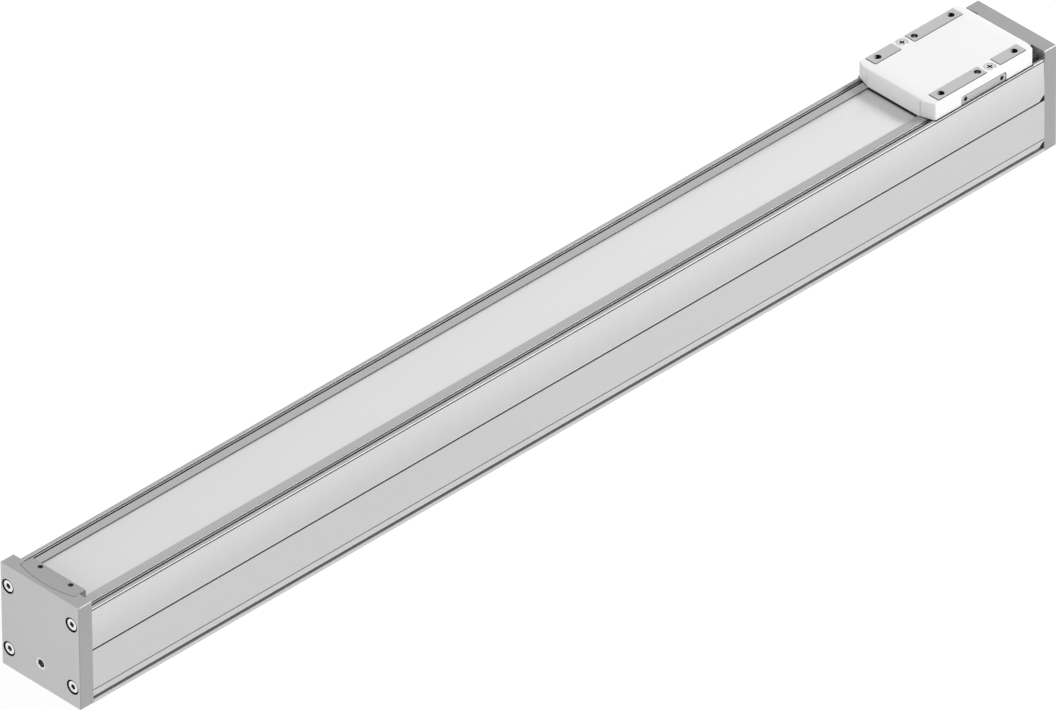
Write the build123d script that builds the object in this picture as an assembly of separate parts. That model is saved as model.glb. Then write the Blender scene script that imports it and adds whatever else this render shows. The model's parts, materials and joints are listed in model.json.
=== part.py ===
from build123d import *
import math
import os

# A linear guide axis: an aluminium profile with a ball guide inside, a steel cover strip that closes
# the profile's opening, and a slide that reaches out through the opening and lifts the strip over itself.
# Millimetres. X runs along the axis, Z is up, and the origin is under the middle of the profile.

# Whole axis
overall_length = 730.0
body_width = 60.0
profile_height = 61.2
cap_rise = 5.1           # how far the end caps stand above the profile
cap_thickness = 9.5
end_gap = 0.4            # between the slide's nose and the strip clamp at each end of the travel
seat_gap = 0.1           # between pieces that slide or drop into each other
screw_gap = 0.2          # radial, between a screw and the hole it passes through
thread_gap = 0.05        # radial, between a screw and the thread it bites in

# Profile section
wall_thickness = 4.4
floor_thickness = 9.0
roof_thickness = 5.4
opening_width = 30.0
cavity_corner_radius = 1.5
screw_boss_wall = 1.8    # around the long threads for the cap screws
side_crown = 0.35        # how far the upper side face leans in at its top edge
edge_radius = 0.4
top_edge_radius = 1.0
side_groove_height = 34.6
side_groove_width = 1.1
side_groove_depth = 1.3
edge_line_drop = 1.1     # from the profile's top to the fine line below its rounded edge
edge_line_width = 0.35
edge_line_depth = 0.5
foot_line_height = 8.7
foot_line_width = 0.6
foot_line_depth = 0.5
clamp_slot_bottom = 2.5
clamp_slot_width = 2.2
clamp_slot_depth = 1.6
clamp_pocket_height = 3.3
clamp_pocket_depth = 2.0
slot_flare_length = 4.0  # the side slots open upwards just before the far cap
slot_flare_slope = 3.0
slot_flare_rise = 2.6
top_slot_inset = 4.1     # from the profile's side to the middle of each top slot
top_slot_width = 3.7
top_slot_depth = 1.4
top_groove_width = 1.2
top_groove_depth = 3.4
floor_chamber_width = 9.0
floor_chamber_height = 3.4
floor_chamber_radius = 1.1
floor_chamber_offset = 14.0
underside_relief_width = 30.0
underside_relief_depth = 0.3

# Cover strip and the magnets that hold it down
strip_width = 37.2
strip_thickness = 0.2
strip_side_gap = 0.3
strip_recess = 0.7       # from the profile's top down to the strip's upper face
strip_end_inset = 9.8
strip_rise = 5.4         # how far the slide lifts the strip
magnet_width = 3.2
magnet_thickness = 1.5

# Guide rail and runner block
rail_width = 15.0
rail_height = 15.0
rail_end_gap = 1.5
rail_edge_chamfer = 0.8
rail_pitch = 60.0
rail_hole_diameter = 4.5
rail_counterbore_diameter = 7.5
rail_counterbore_depth = 5.3
rail_screw_bite = 6.5
guide_height = 28.0      # from the floor to the top of the block
block_width = 34.0
block_length = 40.0
block_ground_gap = 4.3
block_running_gap = 0.6
block_edge_chamfer = 1.0
ball_diameter = 4.0
ball_gap = 0.08
ball_row_height = 9.0    # above the floor
ball_return_offset = 5.4
end_cap_length = 9.5
end_cap_inset = 0.5
seal_thickness = 1.2
seal_gap = 0.3
end_screw_spacing = 24.0
end_screw_height = 23.0  # above the floor
end_screw_bite = 4.0

# Screws: thread diameter, head and key
m4 = 4.0
m4_head_diameter = 7.0
m4_head_height = 4.0
m4_key = 3.0
m3 = 3.0
m3_key = 1.5
m2 = 2.0
m2_head_diameter = 3.8
m2_head_height = 1.2
key_depth = 1.8

# End caps
cap_edge_radius = 0.9
cap_screw_inset = 5.8    # from the cap's side
cap_screw_low = 12.4
cap_screw_drop = 8.2     # from the profile's top to the upper screws
cap_counterbore_diameter = 8.3
cap_screw_sink = 0.3     # how far the head lies below the cap's face
cap_screw_bite = 12.0
port_height = 15.2
port_diameter = 6.2
port_plug_length = 8.4
port_plug_key = 3.0
tongue_height = 4.0      # the seat under the strip's end
tongue_side_gap = 0.4
buffer_diameter = 15.0
buffer_drop = 9.0        # from the underside of the profile's roof
buffer_stem_diameter = 8.0
buffer_stem_length = 4.0
buffer_chamfer = 0.8
buffer_gap = 0.2

# Strip clamps
clamp_margin = 1.7       # wider than the strip on each side
clamp_overhang = 5.0     # over the strip, past the cap's inner face
clamp_arc_depth = 3.0
clamp_web = 2.9          # left of the cap in front of the arc's middle
clamp_tongue = 4.0       # how far the straight clamp reaches into the far cap
clamp_cover = 1.3        # left of the far cap above that tongue
clamp_strip_gap = 0.8
clamp_lip_reach = 1.0
clamp_lip_height = 1.8
clamp_gap = 0.25
set_screw_spacing = 23.0
set_screw_inset = 11.9   # from the cap's outer face
set_screw_sink = 0.8

# Slide
slide_length = 80.4
slide_inset = 1.2        # narrower than the profile on each side
slide_ground_gap = 0.3   # between the slide and the profile's top
corner_run = 3.2         # length of the angled stretch at each corner
nose_margin = 1.45       # wider than the strip on each side
cover_rise = 11.1        # how far the cover stands above the profile
cover_wall = 0.9
cover_roof = 2.1
cover_corner_radius = 1.2
cover_edge_radius = 0.7
cover_crown_drop = 0.8
cover_crown_run = 10.0
cover_rib_spacing = 16.0
cover_rib_thickness = 1.2
cover_rib_length = 20.0
cover_rib_gap = 0.8
pad_proud = 0.3
pad_corner_radius = 0.5
pad_gap = 0.25
pad_outer_margin = 1.0   # from the slide's flank to the pads
pad_inner_margin = 1.3   # from the strip's channel to the pads
pad_end_inset = 6.8      # from the slide's nose to the pads
long_pad_inner = 3.4
short_pad_inner = 13.7
bar_end_inset = 5.7      # from the slide's nose to the bars that carry the pads
neck_end_inset = 10.2    # from the slide's nose to the neck
neck_side_gap = 1.2
foot_inset = 0.5         # narrower than the runner block on each side
foot_height = 6.0
ramp_top_half = 12.0
ramp_foot_inset = 4.2    # from the slide's nose to the foot of the strip's ramp
mount_end_inset = 12.2   # from the slide's nose to the mounting threads
mount_thread_diameter = 4.2
mount_thread_depth = 9.0
centring_diameter = 4.0
centring_depth = 3.0
flank_length = 34.0
flank_height = 5.3
flank_corner_radius = 2.0
flank_hole_spacing = 27.7
flank_hole_diameter = 1.6
flank_hole_depth = 5.0
slide_screw_spacing_x = 26.0
slide_screw_spacing_y = 17.0
slide_screw_seat = 8.0   # above the block
slide_screw_bite = 6.0
cover_screw_x = 8.65
cover_screw_inset = 4.0  # from the slide's flank
cover_screw_head_diameter = 6.8
cover_screw_head_height = 1.1
cover_screw_bite = 7.0
cross_width = 0.8
cross_length = 3.2
cross_depth = 0.7
deflector_length = 9.6
deflector_gap = 0.25

# Places worked out from the sizes above
half_length = overall_length / 2
inner_face = half_length - cap_thickness
half_width = body_width / 2
floor_top = floor_thickness
roof_underside = profile_height - roof_thickness
cap_height = profile_height + cap_rise
cap_screw_high = profile_height - cap_screw_drop
buffer_height = roof_underside - buffer_drop
cap_screw_spacing = body_width - 2 * cap_screw_inset
strip_top = profile_height - strip_recess
strip_bottom = strip_top - strip_thickness
ledge_top = strip_bottom - magnet_thickness
lifted_bottom = strip_bottom + strip_rise
strip_half_length = half_length - strip_end_inset
block_top = floor_top + guide_height
clamp_width = strip_width + 2 * clamp_margin
clamp_edge = inner_face - clamp_overhang
slide_width = body_width - 2 * slide_inset
nose_width = strip_width + 2 * nose_margin
slide_side_length = slide_length - 2 * corner_run
slide_reach = clamp_edge - end_gap - slide_length / 2
slide_bottom = profile_height + slide_ground_gap
cover_top = profile_height + cover_rise
cover_ceiling = cover_top - cover_roof
pad_top = cover_top + pad_proud
bar_top = cover_ceiling - seat_gap
bar_inner = strip_width / 2 + strip_side_gap
pad_outer = slide_width / 2 - pad_outer_margin
pad_inner = bar_inner + pad_inner_margin
pad_width = pad_outer - pad_inner
long_pad_outer = slide_length / 2 - pad_end_inset
neck_half = slide_length / 2 - neck_end_inset
ramp_foot_half = slide_length / 2 - ramp_foot_inset
mount_spacing_x = slide_length - 2 * mount_end_inset
mount_spacing_y = pad_outer + pad_inner
cover_screw_y = slide_width / 2 - cover_screw_inset


def box(x, y, z):
    """A block from its (low, high) limits along each axis."""
    size = [high - low for low, high in (x, y, z)]
    middle = [(high + low) / 2 for low, high in (x, y, z)]
    return Pos(*middle) * Box(*size)


def pin(diameter, low, high, x=0.0, y=0.0):
    """An upright cylinder between two heights."""
    return Pos(x, y, (low + high) / 2) * Cylinder(diameter / 2, high - low)


def corners(spacing_x, spacing_y):
    """The four corners of a rectangle about the origin."""
    return [(sx * spacing_x / 2, sy * spacing_y / 2) for sx in (-1, 1) for sy in (-1, 1)]


def headed_screw(thread, head, head_height, length):
    """A screw on +Z with its head's seat at the origin and its shank below."""
    return pin(head, 0, head_height) + pin(thread, -length, 0)


def socket_screw(thread, head, head_height, key, length):
    """A headed screw with a hexagon socket."""
    screw = headed_screw(thread, head, head_height, length)
    hexagon = RegularPolygon(key / 2, 6, major_radius=False)
    socket = extrude(hexagon, amount=key_depth)
    return screw - Pos(0, 0, head_height - key_depth) * socket


def set_screw(thread, key, length):
    """A headless screw on +Z, its tip at the origin and its key at the top."""
    hexagon = RegularPolygon(key / 2, 6, major_radius=False)
    return pin(thread, 0, length) - Pos(0, 0, length - key_depth) * extrude(hexagon, amount=key_depth)


def both_ends(piece):
    """A piece made for the far end (+X), with its mirror image at the near end."""
    return Compound(children=solids_of(piece) + solids_of(mirror(piece, Plane.YZ)))


def solids_of(shape):
    return [Solid(solid.wrapped) for solid in shape.solids()]


def group(pieces):
    """Separate solids kept together in one node."""
    return Compound(children=[solid for piece in pieces for solid in solids_of(piece)])


def strip_line(lift, reach):
    """The strip's underside over the slide, raised by lift: flat, up a ramp, level, and down again."""
    low = strip_bottom + lift
    middle = low + strip_rise / 2
    high = low + strip_rise
    run = (ramp_foot_half - ramp_top_half) / 2
    radius = (run ** 2 + (strip_rise / 2) ** 2) / strip_rise
    half_turn = math.asin(run / radius) / 2
    sideways = radius * math.sin(half_turn)
    upwards = radius * (1 - math.cos(half_turn))
    inflection = ramp_top_half + run

    def ramp(side):
        foot = (side * ramp_foot_half, low)
        bend = (side * (ramp_foot_half - sideways), low + upwards)
        centre = (side * inflection, middle)
        crest = (side * (ramp_top_half + sideways), high - upwards)
        top = (side * ramp_top_half, high)
        return foot, bend, centre, crest, top

    foot, bend, centre, crest, top = ramp(-1)
    far_foot, far_bend, far_centre, far_crest, far_top = ramp(1)
    return [
        Line((-reach, low), foot),
        ThreePointArc(foot, bend, centre),
        ThreePointArc(centre, crest, top),
        Line(top, far_top),
        ThreePointArc(far_top, far_crest, far_centre),
        ThreePointArc(far_centre, far_bend, far_foot),
        Line(far_foot, (reach, low)),
    ]


def under_strip_line(lift, reach, floor):
    """Everything below the raised strip line down to floor, as a face in the XZ plane."""
    line = strip_line(lift, reach)
    low = strip_bottom + lift
    closing = [
        Line((reach, low), (reach, floor)),
        Line((reach, floor), (-reach, floor)),
        Line((-reach, floor), (-reach, low)),
    ]
    return make_face(line + closing)


def across(face, width):
    """Extrudes a face drawn in X and Z to both sides of the middle plane."""
    return extrude(Plane.XZ * face, amount=width / 2, both=True)


def along(face, length):
    """Extrudes a face drawn in Y and Z to both ends."""
    return extrude(Plane.YZ * face, amount=length / 2, both=True)


def sides(face):
    """A face on the +Y side of the section together with its mirror image."""
    return face + mirror(face, Plane.YZ)


def span(y, z):
    """A rectangle of the section from its limits in Y and Z."""
    return Pos((y[0] + y[1]) / 2, (z[0] + z[1]) / 2) * Rectangle(y[1] - y[0], z[1] - z[0])


def profile_outline():
    side_rise = TangentArc(
        (half_width, side_groove_height), (half_width - side_crown, profile_height), tangent=(0, 1)
    )
    half = [
        Line((0, 0), (half_width, 0)),
        Line((half_width, 0), (half_width, side_groove_height)),
        side_rise,
        Line((half_width - side_crown, profile_height), (0, profile_height)),
        Line((0, profile_height), (0, 0)),
    ]
    outline = sides(make_face(half))
    foot = outline.vertices().group_by(Axis.Y)[0].filter_by(lambda v: abs(v.X) > edge_radius)
    outline = fillet(foot, edge_radius)
    shoulders = outline.vertices().group_by(Axis.Y)[-1].filter_by(lambda v: abs(v.X) > edge_radius)
    return fillet(shoulders, top_edge_radius)


def profile_cavity():
    """The hollow for the guide: narrow between the screw bosses, wide between them and the roof."""
    boss_half = m4 / 2 + screw_boss_wall
    inner_half = half_width - wall_thickness
    boss_inside = cap_screw_spacing / 2 - boss_half
    low = cap_screw_low + boss_half
    high = cap_screw_high - boss_half
    narrow = span((-boss_inside, boss_inside), (floor_top, roof_underside))
    wide = span((-inner_half, inner_half), (low, high))
    cavity = narrow + wide
    return fillet(cavity.vertices(), cavity_corner_radius)


def side_line(height, width, depth):
    """A groove in the +Y side of the section, from the middle of its mouth."""
    return span((half_width - depth, half_width), (height - width / 2, height + width / 2))


def profile_section():
    top = profile_height
    section = profile_outline() - profile_cavity()
    section -= span((-opening_width / 2, opening_width / 2), (roof_underside, top))
    recess_half = strip_width / 2 + strip_side_gap
    section -= span((-recess_half, recess_half), (ledge_top, top))

    slot = span((-top_slot_width / 2, top_slot_width / 2), (top - top_slot_depth, top))
    slot += span((-top_groove_width / 2, top_groove_width / 2), (top - top_groove_depth, top))
    section -= sides(Pos(half_width - top_slot_inset, 0) * slot)

    groove = side_line(side_groove_height, side_groove_width, side_groove_depth)
    foot_line = side_line(foot_line_height, foot_line_width, foot_line_depth)
    edge_line = side_line(profile_height - edge_line_drop, edge_line_width, edge_line_depth)
    slot_top = clamp_slot_bottom + clamp_slot_width
    mouth = span((half_width - clamp_slot_depth, half_width), (clamp_slot_bottom, slot_top))
    pocket_outer = half_width - clamp_slot_depth
    pocket = span(
        (pocket_outer - clamp_pocket_depth, pocket_outer),
        (clamp_slot_bottom, clamp_slot_bottom + clamp_pocket_height),
    )
    section -= sides(groove + foot_line + edge_line + mouth + pocket)

    chamber = Pos(floor_chamber_offset, floor_top / 2) * RectangleRounded(
        floor_chamber_width, floor_chamber_height, floor_chamber_radius
    )
    section -= sides(chamber)
    relief_half = underside_relief_width / 2
    section -= span((-relief_half, relief_half), (0, underside_relief_depth))

    hole = Circle(m4 / 2 + thread_gap)
    for height in (cap_screw_low, cap_screw_high):
        section -= sides(Pos(cap_screw_spacing / 2, height) * hole)
    return section


def slot_flare(slot_top, depth):
    """The wedge that opens a side slot upwards next to the far cap."""
    wedge = Polyline(
        (inner_face - slot_flare_length, slot_top),
        (inner_face, slot_top),
        (inner_face, slot_top + slot_flare_rise),
        (inner_face - slot_flare_length + slot_flare_slope, slot_top + slot_flare_rise),
        close=True,
    )
    solid = across(make_face(wedge), body_width)
    return solid - box((0, half_length), (-half_width + depth, half_width - depth), (0, profile_height))


def rail_screw_places():
    rail_length = 2 * (inner_face - rail_end_gap)
    spaces = int((rail_length - rail_pitch / 2) // rail_pitch)
    first = -spaces * rail_pitch / 2
    return [first + i * rail_pitch for i in range(spaces + 1)]


def profile():
    body = along(profile_section(), 2 * inner_face)
    body -= slot_flare(side_groove_height + side_groove_width / 2, side_groove_depth)
    body -= slot_flare(clamp_slot_bottom + clamp_slot_width, clamp_slot_depth)
    tapped = m4 + 2 * thread_gap
    for x in rail_screw_places():
        body -= pin(tapped, floor_top - rail_screw_bite - seat_gap, floor_top, x)
    return body


def ball_row():
    """Where the balls run beside the rail: distance from the middle, and height."""
    return rail_width / 2 + block_running_gap / 2, floor_top + ball_row_height


def guide_rail():
    row_y, row_z = ball_row()
    section = span((-rail_width / 2, rail_width / 2), (floor_top, floor_top + rail_height))
    section = chamfer(section.vertices(), rail_edge_chamfer)
    section -= sides(Pos(row_y, row_z) * Circle(ball_diameter / 2 + ball_gap))
    rail = along(section, 2 * (inner_face - rail_end_gap))
    top = floor_top + rail_height
    for x in rail_screw_places():
        rail -= pin(rail_hole_diameter, floor_top, top, x)
        rail -= pin(rail_counterbore_diameter, top - rail_counterbore_depth, top, x)
    return rail


def rail_screws():
    seat = floor_top + rail_height - rail_counterbore_depth
    screw = headed_screw(m4, m4_head_diameter, m4_head_height, seat - floor_top + rail_screw_bite)
    return group([Pos(x, 0, seat) * screw for x in rail_screw_places()])


def block_section(width, top, running_gap):
    """The runner's saddle section, open downwards over the rail."""
    outer = span((-width / 2, width / 2), (floor_top + block_ground_gap, top))
    outer = chamfer(outer.vertices().group_by(Axis.Y)[-1], block_edge_chamfer)
    channel_half = rail_width / 2 + running_gap
    return outer - span((-channel_half, channel_half), (floor_top, floor_top + rail_height + running_gap))


def runner_block():
    row_y, row_z = ball_row()
    section = block_section(block_width, block_top, block_running_gap)
    groove = Circle(ball_diameter / 2 + ball_gap)
    section -= sides(Pos(row_y, row_z) * groove)
    section -= sides(Pos(row_y + ball_return_offset, row_z) * groove)
    block = along(section, block_length)
    tapped = m4 + 2 * thread_gap
    for x, y in corners(slide_screw_spacing_x, slide_screw_spacing_y):
        block -= pin(tapped, block_top - slide_screw_bite - seat_gap, block_top, x, y)
    for place in end_screw_places(block_length / 2):
        block -= place * Cylinder(m2 / 2 + thread_gap, 2 * (end_screw_bite + seat_gap))
    return block


def end_screw_places(x):
    """The small screws on both ends of the runner, their axes along X."""
    height = floor_top + end_screw_height
    return [
        Pos(end * x, side * end_screw_spacing / 2, height) * Rot(0, end * 90, 0)
        for end in (-1, 1)
        for side in (-1, 1)
    ]


def runner_end(low, thickness, running_gap):
    """A piece on both ends of the runner, with the small screws' holes through it."""
    section = block_section(block_width - 2 * end_cap_inset, block_top - end_cap_inset, running_gap)
    pieces = both_ends(extrude(Plane.YZ.offset(low) * section, amount=thickness))
    for place in end_screw_places(low + thickness / 2):
        pieces -= place * Cylinder(m2 / 2 + thread_gap, thickness)
    return group([pieces])


def runner_end_caps():
    """The plastic ends, in which the balls turn back into their return bores."""
    return runner_end(block_length / 2, end_cap_length, block_running_gap)


def runner_seals():
    """Rubber wipers on the runner's ends, close to the rail."""
    return runner_end(block_length / 2 + end_cap_length, seal_thickness, seal_gap)


def runner_screws():
    grip = end_cap_length + seal_thickness
    screw = headed_screw(m2, m2_head_diameter, m2_head_height, grip + end_screw_bite)
    return group([place * screw for place in end_screw_places(block_length / 2 + grip)])


def slide_outline(inset):
    """The slide seen from above: straight sides, angled corners and a straight nose at each end."""
    side_half = slide_side_length / 2
    nose_half = slide_length / 2
    half = slide_width / 2
    quarter = [(side_half, half), (nose_half, nose_width / 2)]
    points = quarter + [(x, -y) for x, y in reversed(quarter)]
    points += [(-x, y) for x, y in reversed(points)]
    outline = make_face(Polyline(*points, close=True))
    outline = fillet(outline.vertices(), cover_corner_radius)
    return offset(outline, amount=-inset) if inset else outline


def pad_faces(gap):
    """The four mounting pads seen from above, grown by gap on every side."""
    faces = []
    for turn in (0, 180):
        for low, high in ((-long_pad_outer, long_pad_inner), (short_pad_inner, long_pad_outer)):
            pad = RectangleRounded(
                high - low + 2 * gap, pad_width + 2 * gap, pad_corner_radius + gap
            )
            faces.append(Rot(0, 0, turn) * Pos((low + high) / 2, -mount_spacing_y / 2) * pad)
    return faces


def flank_face(gap):
    """The metal panel in each flank, drawn in X and Z with its upper corners rounded."""
    low, high = slide_bottom, slide_bottom + flank_height + gap
    half = flank_length / 2 + gap
    panel = span((-half, half), (low - gap, high))
    return fillet(panel.vertices().group_by(Axis.Y)[-1], flank_corner_radius)


def slide_body():
    """The aluminium carrier: foot on the runner, neck through the opening, and a ramp for the strip
    between two bars that carry the mounting pads."""
    neck_side = opening_width / 2 - neck_side_gap
    foot_side = block_width / 2 - foot_inset
    bridge_half = (ramp_top_half + ramp_foot_half) / 2
    bar_half = slide_length / 2 - bar_end_inset

    foot = box((-neck_half, neck_half), (-foot_side, foot_side), (block_top, block_top + foot_height))
    neck = box((-neck_half, neck_half), (-neck_side, neck_side), (block_top, bar_top))
    bridge = box((-bridge_half, bridge_half), (-bar_inner, bar_inner), (slide_bottom, bar_top))
    under = across(under_strip_line(-seat_gap, slide_length, 0), 2 * bar_inner)
    body = foot + ((neck + bridge) & under)

    inside = Pos(0, 0, slide_bottom) * slide_outline(cover_wall + seat_gap)
    bars = extrude(inside, amount=bar_top - slide_bottom)
    bars &= box((-bar_half, bar_half), (-slide_width, slide_width), (0, cover_top))
    channel = box((-slide_length, slide_length), (-bar_inner, bar_inner), (0, cover_top))
    body += bars - channel

    for pad in pad_faces(0):
        body += extrude(Pos(0, 0, bar_top) * pad, amount=pad_top - bar_top)
    body += across(flank_face(0), slide_width) - channel

    for x, y in corners(mount_spacing_x, mount_spacing_y):
        body -= pin(mount_thread_diameter, pad_top - mount_thread_depth, pad_top, x, y)
    for side in (-1, 1):
        body -= pin(centring_diameter, pad_top - centring_depth, pad_top, 0, side * mount_spacing_y / 2)
        thread = pin(m3 + 2 * thread_gap, bar_top - cover_screw_bite - seat_gap, bar_top)
        body -= Pos(*cover_screw_place(side), 0) * thread
    seat = block_top + slide_screw_seat
    for x, y in corners(slide_screw_spacing_x, slide_screw_spacing_y):
        body -= pin(m4 + 2 * screw_gap, block_top, seat, x, y)
        body -= pin(m4_head_diameter + 2 * screw_gap, seat, cover_top, x, y)
    hole_height = slide_bottom + flank_height / 2
    for x in (-flank_hole_spacing / 2, flank_hole_spacing / 2):
        for side in (-1, 1):
            depth = slide_width / 2 - flank_hole_depth / 2
            body -= Pos(x, side * depth, hole_height) * Rot(90, 0, 0) * Cylinder(
                flank_hole_diameter / 2, flank_hole_depth
            )
    return body


def cover_screw_place(side):
    """Each cover screw sits between the two pads of its row."""
    return -side * cover_screw_x, side * cover_screw_y


def slide_screws():
    screw = headed_screw(m4, m4_head_diameter, m4_head_height, slide_screw_seat + slide_screw_bite)
    screw = Pos(0, 0, block_top + slide_screw_seat) * screw
    return group([Pos(x, y, 0) * screw for x, y in corners(slide_screw_spacing_x, slide_screw_spacing_y)])


def cover_crown():
    """The cover's crown seen from the side: level, then curving down towards both noses."""
    half = slide_length / 2
    start = half - cover_crown_run
    right_fall = TangentArc((start, cover_top), (half, cover_top - cover_crown_drop), tangent=(1, 0))
    left_fall = TangentArc((-start, cover_top), (-half, cover_top - cover_crown_drop), tangent=(-1, 0))
    edges = [
        Line((-start, cover_top), (start, cover_top)),
        right_fall,
        Line((half, cover_top - cover_crown_drop), (half, slide_bottom)),
        Line((half, slide_bottom), (-half, slide_bottom)),
        Line((-half, slide_bottom), (-half, cover_top - cover_crown_drop)),
        left_fall,
    ]
    return make_face(edges)


def slide_cover():
    """The white moulded hood over the slide, with windows for the pads and a notch in each flank."""
    shell = Pos(0, 0, slide_bottom) * extrude(slide_outline(0), amount=cover_top - slide_bottom)
    shell = shell & across(cover_crown(), slide_width)
    rim = [edge for edge in shell.edges() if edge.center().Z > cover_top - cover_crown_drop - edge_radius
           and edge_on_outline(edge)]
    shell = fillet(rim, cover_edge_radius)
    hollow = extrude(slide_outline(cover_wall), amount=cover_ceiling - slide_bottom)
    shell -= Pos(0, 0, slide_bottom) * hollow
    for side in (-1, 1):
        rib_y = side * cover_rib_spacing / 2
        shell += box(
            (-cover_rib_length / 2, cover_rib_length / 2),
            (rib_y - cover_rib_thickness / 2, rib_y + cover_rib_thickness / 2),
            (lifted_bottom + strip_thickness + cover_rib_gap, cover_ceiling),
        )
    for pad in pad_faces(pad_gap):
        shell -= extrude(Pos(0, 0, slide_bottom) * pad, amount=cover_top)
    shell -= across(flank_face(pad_gap), slide_width)
    for side in (-1, 1):
        place = Pos(*cover_screw_place(side), 0)
        shell -= place * pin(m3 + 2 * screw_gap, cover_ceiling, cover_top)
        recess = cover_screw_head_diameter + 2 * seat_gap
        shell -= place * pin(recess, cover_top - cover_screw_head_height, cover_top)
    return shell


def edge_on_outline(edge):
    """True for an edge that runs round the cover's rim."""
    middle = edge @ 0.5
    x, y = abs(middle.X), abs(middle.Y)
    side_half, nose_half = slide_side_length / 2, slide_length / 2
    along_side = y > slide_width / 2 - edge_radius
    along_nose = x > nose_half - edge_radius
    run_x, run_y = nose_half - side_half, (slide_width - nose_width) / 2
    corner_distance = (x - side_half) * run_y - (slide_width / 2 - y) * run_x
    at_corner = abs(corner_distance) / math.hypot(run_x, run_y) < edge_radius and x > side_half - edge_radius
    return along_side or along_nose or at_corner


def cover_screws():
    seat = cover_top - cover_screw_head_height
    length = seat - bar_top + cover_screw_bite
    screw = headed_screw(m3, cover_screw_head_diameter, cover_screw_head_height, length)
    for turn in (0, 90):
        slot = Rot(0, 0, turn) * Box(cross_length, cross_width, cross_depth)
        screw -= Pos(0, 0, cover_screw_head_height - cross_depth / 2) * slot
    return group([Pos(*cover_screw_place(side), seat) * screw for side in (-1, 1)])


def strip_deflectors():
    """Plastic shoes in both noses that press the strip back down onto its magnets."""
    outer = slide_length / 2 - cover_wall - seat_gap
    block = box(
        (outer - deflector_length, outer),
        (-strip_width / 2 + seat_gap, strip_width / 2 - seat_gap),
        (strip_top, cover_ceiling),
    )
    above = across(under_strip_line(strip_thickness + deflector_gap, slide_length, 0), body_width)
    return both_ends(block - above)


def cover_strip(slide_x):
    """The steel strip from cap to cap, with the hump where the slide is."""
    reach = strip_half_length + abs(slide_x)
    band = under_strip_line(strip_thickness, reach, 0) - under_strip_line(0, reach, 0)
    strip = Pos(slide_x, 0, 0) * across(band, strip_width)
    return strip & box((-strip_half_length, strip_half_length), (-body_width, body_width), (0, cover_top))


def magnet_strips():
    inner = opening_width / 2 + seat_gap
    length = inner_face - seat_gap
    strips = [
        box((-length, length), (inner, inner + magnet_width), (ledge_top, strip_bottom)),
        box((-length, length), (-inner - magnet_width, -inner), (ledge_top, strip_bottom)),
    ]
    return group(strips)


def clamp_plan(reach, gap):
    """A strip clamp made for the far end, from above: straight at the back, an arc at the front."""
    half = clamp_width / 2 + gap
    middle = half_length - clamp_web + reach + gap
    shoulder = middle - clamp_arc_depth
    back = clamp_edge
    return make_face([
        Line((back, -half), (shoulder, -half)),
        ThreePointArc((shoulder, -half), (middle, 0), (shoulder, half)),
        Line((shoulder, half), (back, half)),
        Line((back, half), (back, -half)),
    ])


def arc_clamp_blank(gap):
    """The near end's clamp with its lip, grown by gap for the recess in the cap."""
    low = strip_top + clamp_strip_gap - gap
    body = extrude(Pos(0, 0, low) * clamp_plan(0, gap), amount=cap_height - low)
    lip_top = strip_top + clamp_strip_gap + clamp_lip_height + gap
    return body + extrude(Pos(0, 0, low) * clamp_plan(clamp_lip_reach, gap), amount=lip_top - low)


def plain_clamp_blank(gap):
    """The far end's clamp: a straight plate with a tongue that is let into the cap below its top."""
    half = clamp_width / 2 + gap
    low = strip_top + clamp_strip_gap - gap
    plate = box((clamp_edge, inner_face - gap), (-half, half), (low, cap_height))
    tongue_top = cap_height - clamp_cover
    return plate + box((clamp_edge, inner_face + clamp_tongue + gap), (-half, half), (low, tongue_top))


def set_screw_places():
    x = half_length - set_screw_inset
    return [(x, -set_screw_spacing / 2), (x, set_screw_spacing / 2)]


def strip_clamp(blank):
    clamp = blank(0)
    for x, y in set_screw_places():
        clamp -= pin(m3 + 2 * thread_gap, strip_top, cap_height, x, y)
    return clamp


def clamp_set_screws():
    length = cap_height - set_screw_sink - strip_top
    screw = set_screw(m3, m3_key, length)
    return both_ends(group([Pos(x, y, strip_top) * screw for x, y in set_screw_places()]))


def cap_screw_places():
    return [(side * cap_screw_spacing / 2, height) for side in (-1, 1)
            for height in (cap_screw_low, cap_screw_high)]


def endwise(y, z, x=half_length):
    """A place on the far cap whose local +Z points out along +X."""
    return Pos(x, y, z) * Rot(0, 90, 0)


def end_cap(blank):
    """An end cap at the far end: screw counterbores, the port, the recess for the clamp made from
    blank, and the seat under the strip."""
    cap = box((inner_face, half_length), (-half_width, half_width), (0, cap_height))
    outer_edges = cap.edges().filter_by(lambda e: e.center().X > inner_face + seat_gap)
    cap = fillet(outer_edges, cap_edge_radius)
    cap -= blank(clamp_gap)
    tongue_half = opening_width / 2 - tongue_side_gap
    tongue_low = strip_bottom - tongue_height
    cap += box((clamp_edge, inner_face), (-tongue_half, tongue_half), (tongue_low, strip_bottom))
    depth = m4_head_height + cap_screw_sink
    for y, z in cap_screw_places():
        cap -= endwise(y, z, half_length - depth / 2) * Cylinder(cap_counterbore_diameter / 2, depth)
        cap -= endwise(y, z, half_length - cap_thickness / 2) * Cylinder(m4 / 2 + screw_gap, cap_thickness)
    cap -= endwise(0, port_height, half_length - cap_thickness / 2) * Cylinder(
        port_diameter / 2 + thread_gap, cap_thickness
    )
    cap -= endwise(0, buffer_height, inner_face + buffer_stem_length / 2) * Cylinder(
        buffer_stem_diameter / 2 + thread_gap, buffer_stem_length
    )
    return cap


def cap_screws():
    length = cap_thickness - m4_head_height - cap_screw_sink + cap_screw_bite
    screw = socket_screw(m4, m4_head_diameter, m4_head_height, m4_key, length)
    seat = half_length - m4_head_height - cap_screw_sink
    return group([endwise(y, z, seat) * screw for y, z in cap_screw_places()])


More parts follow.
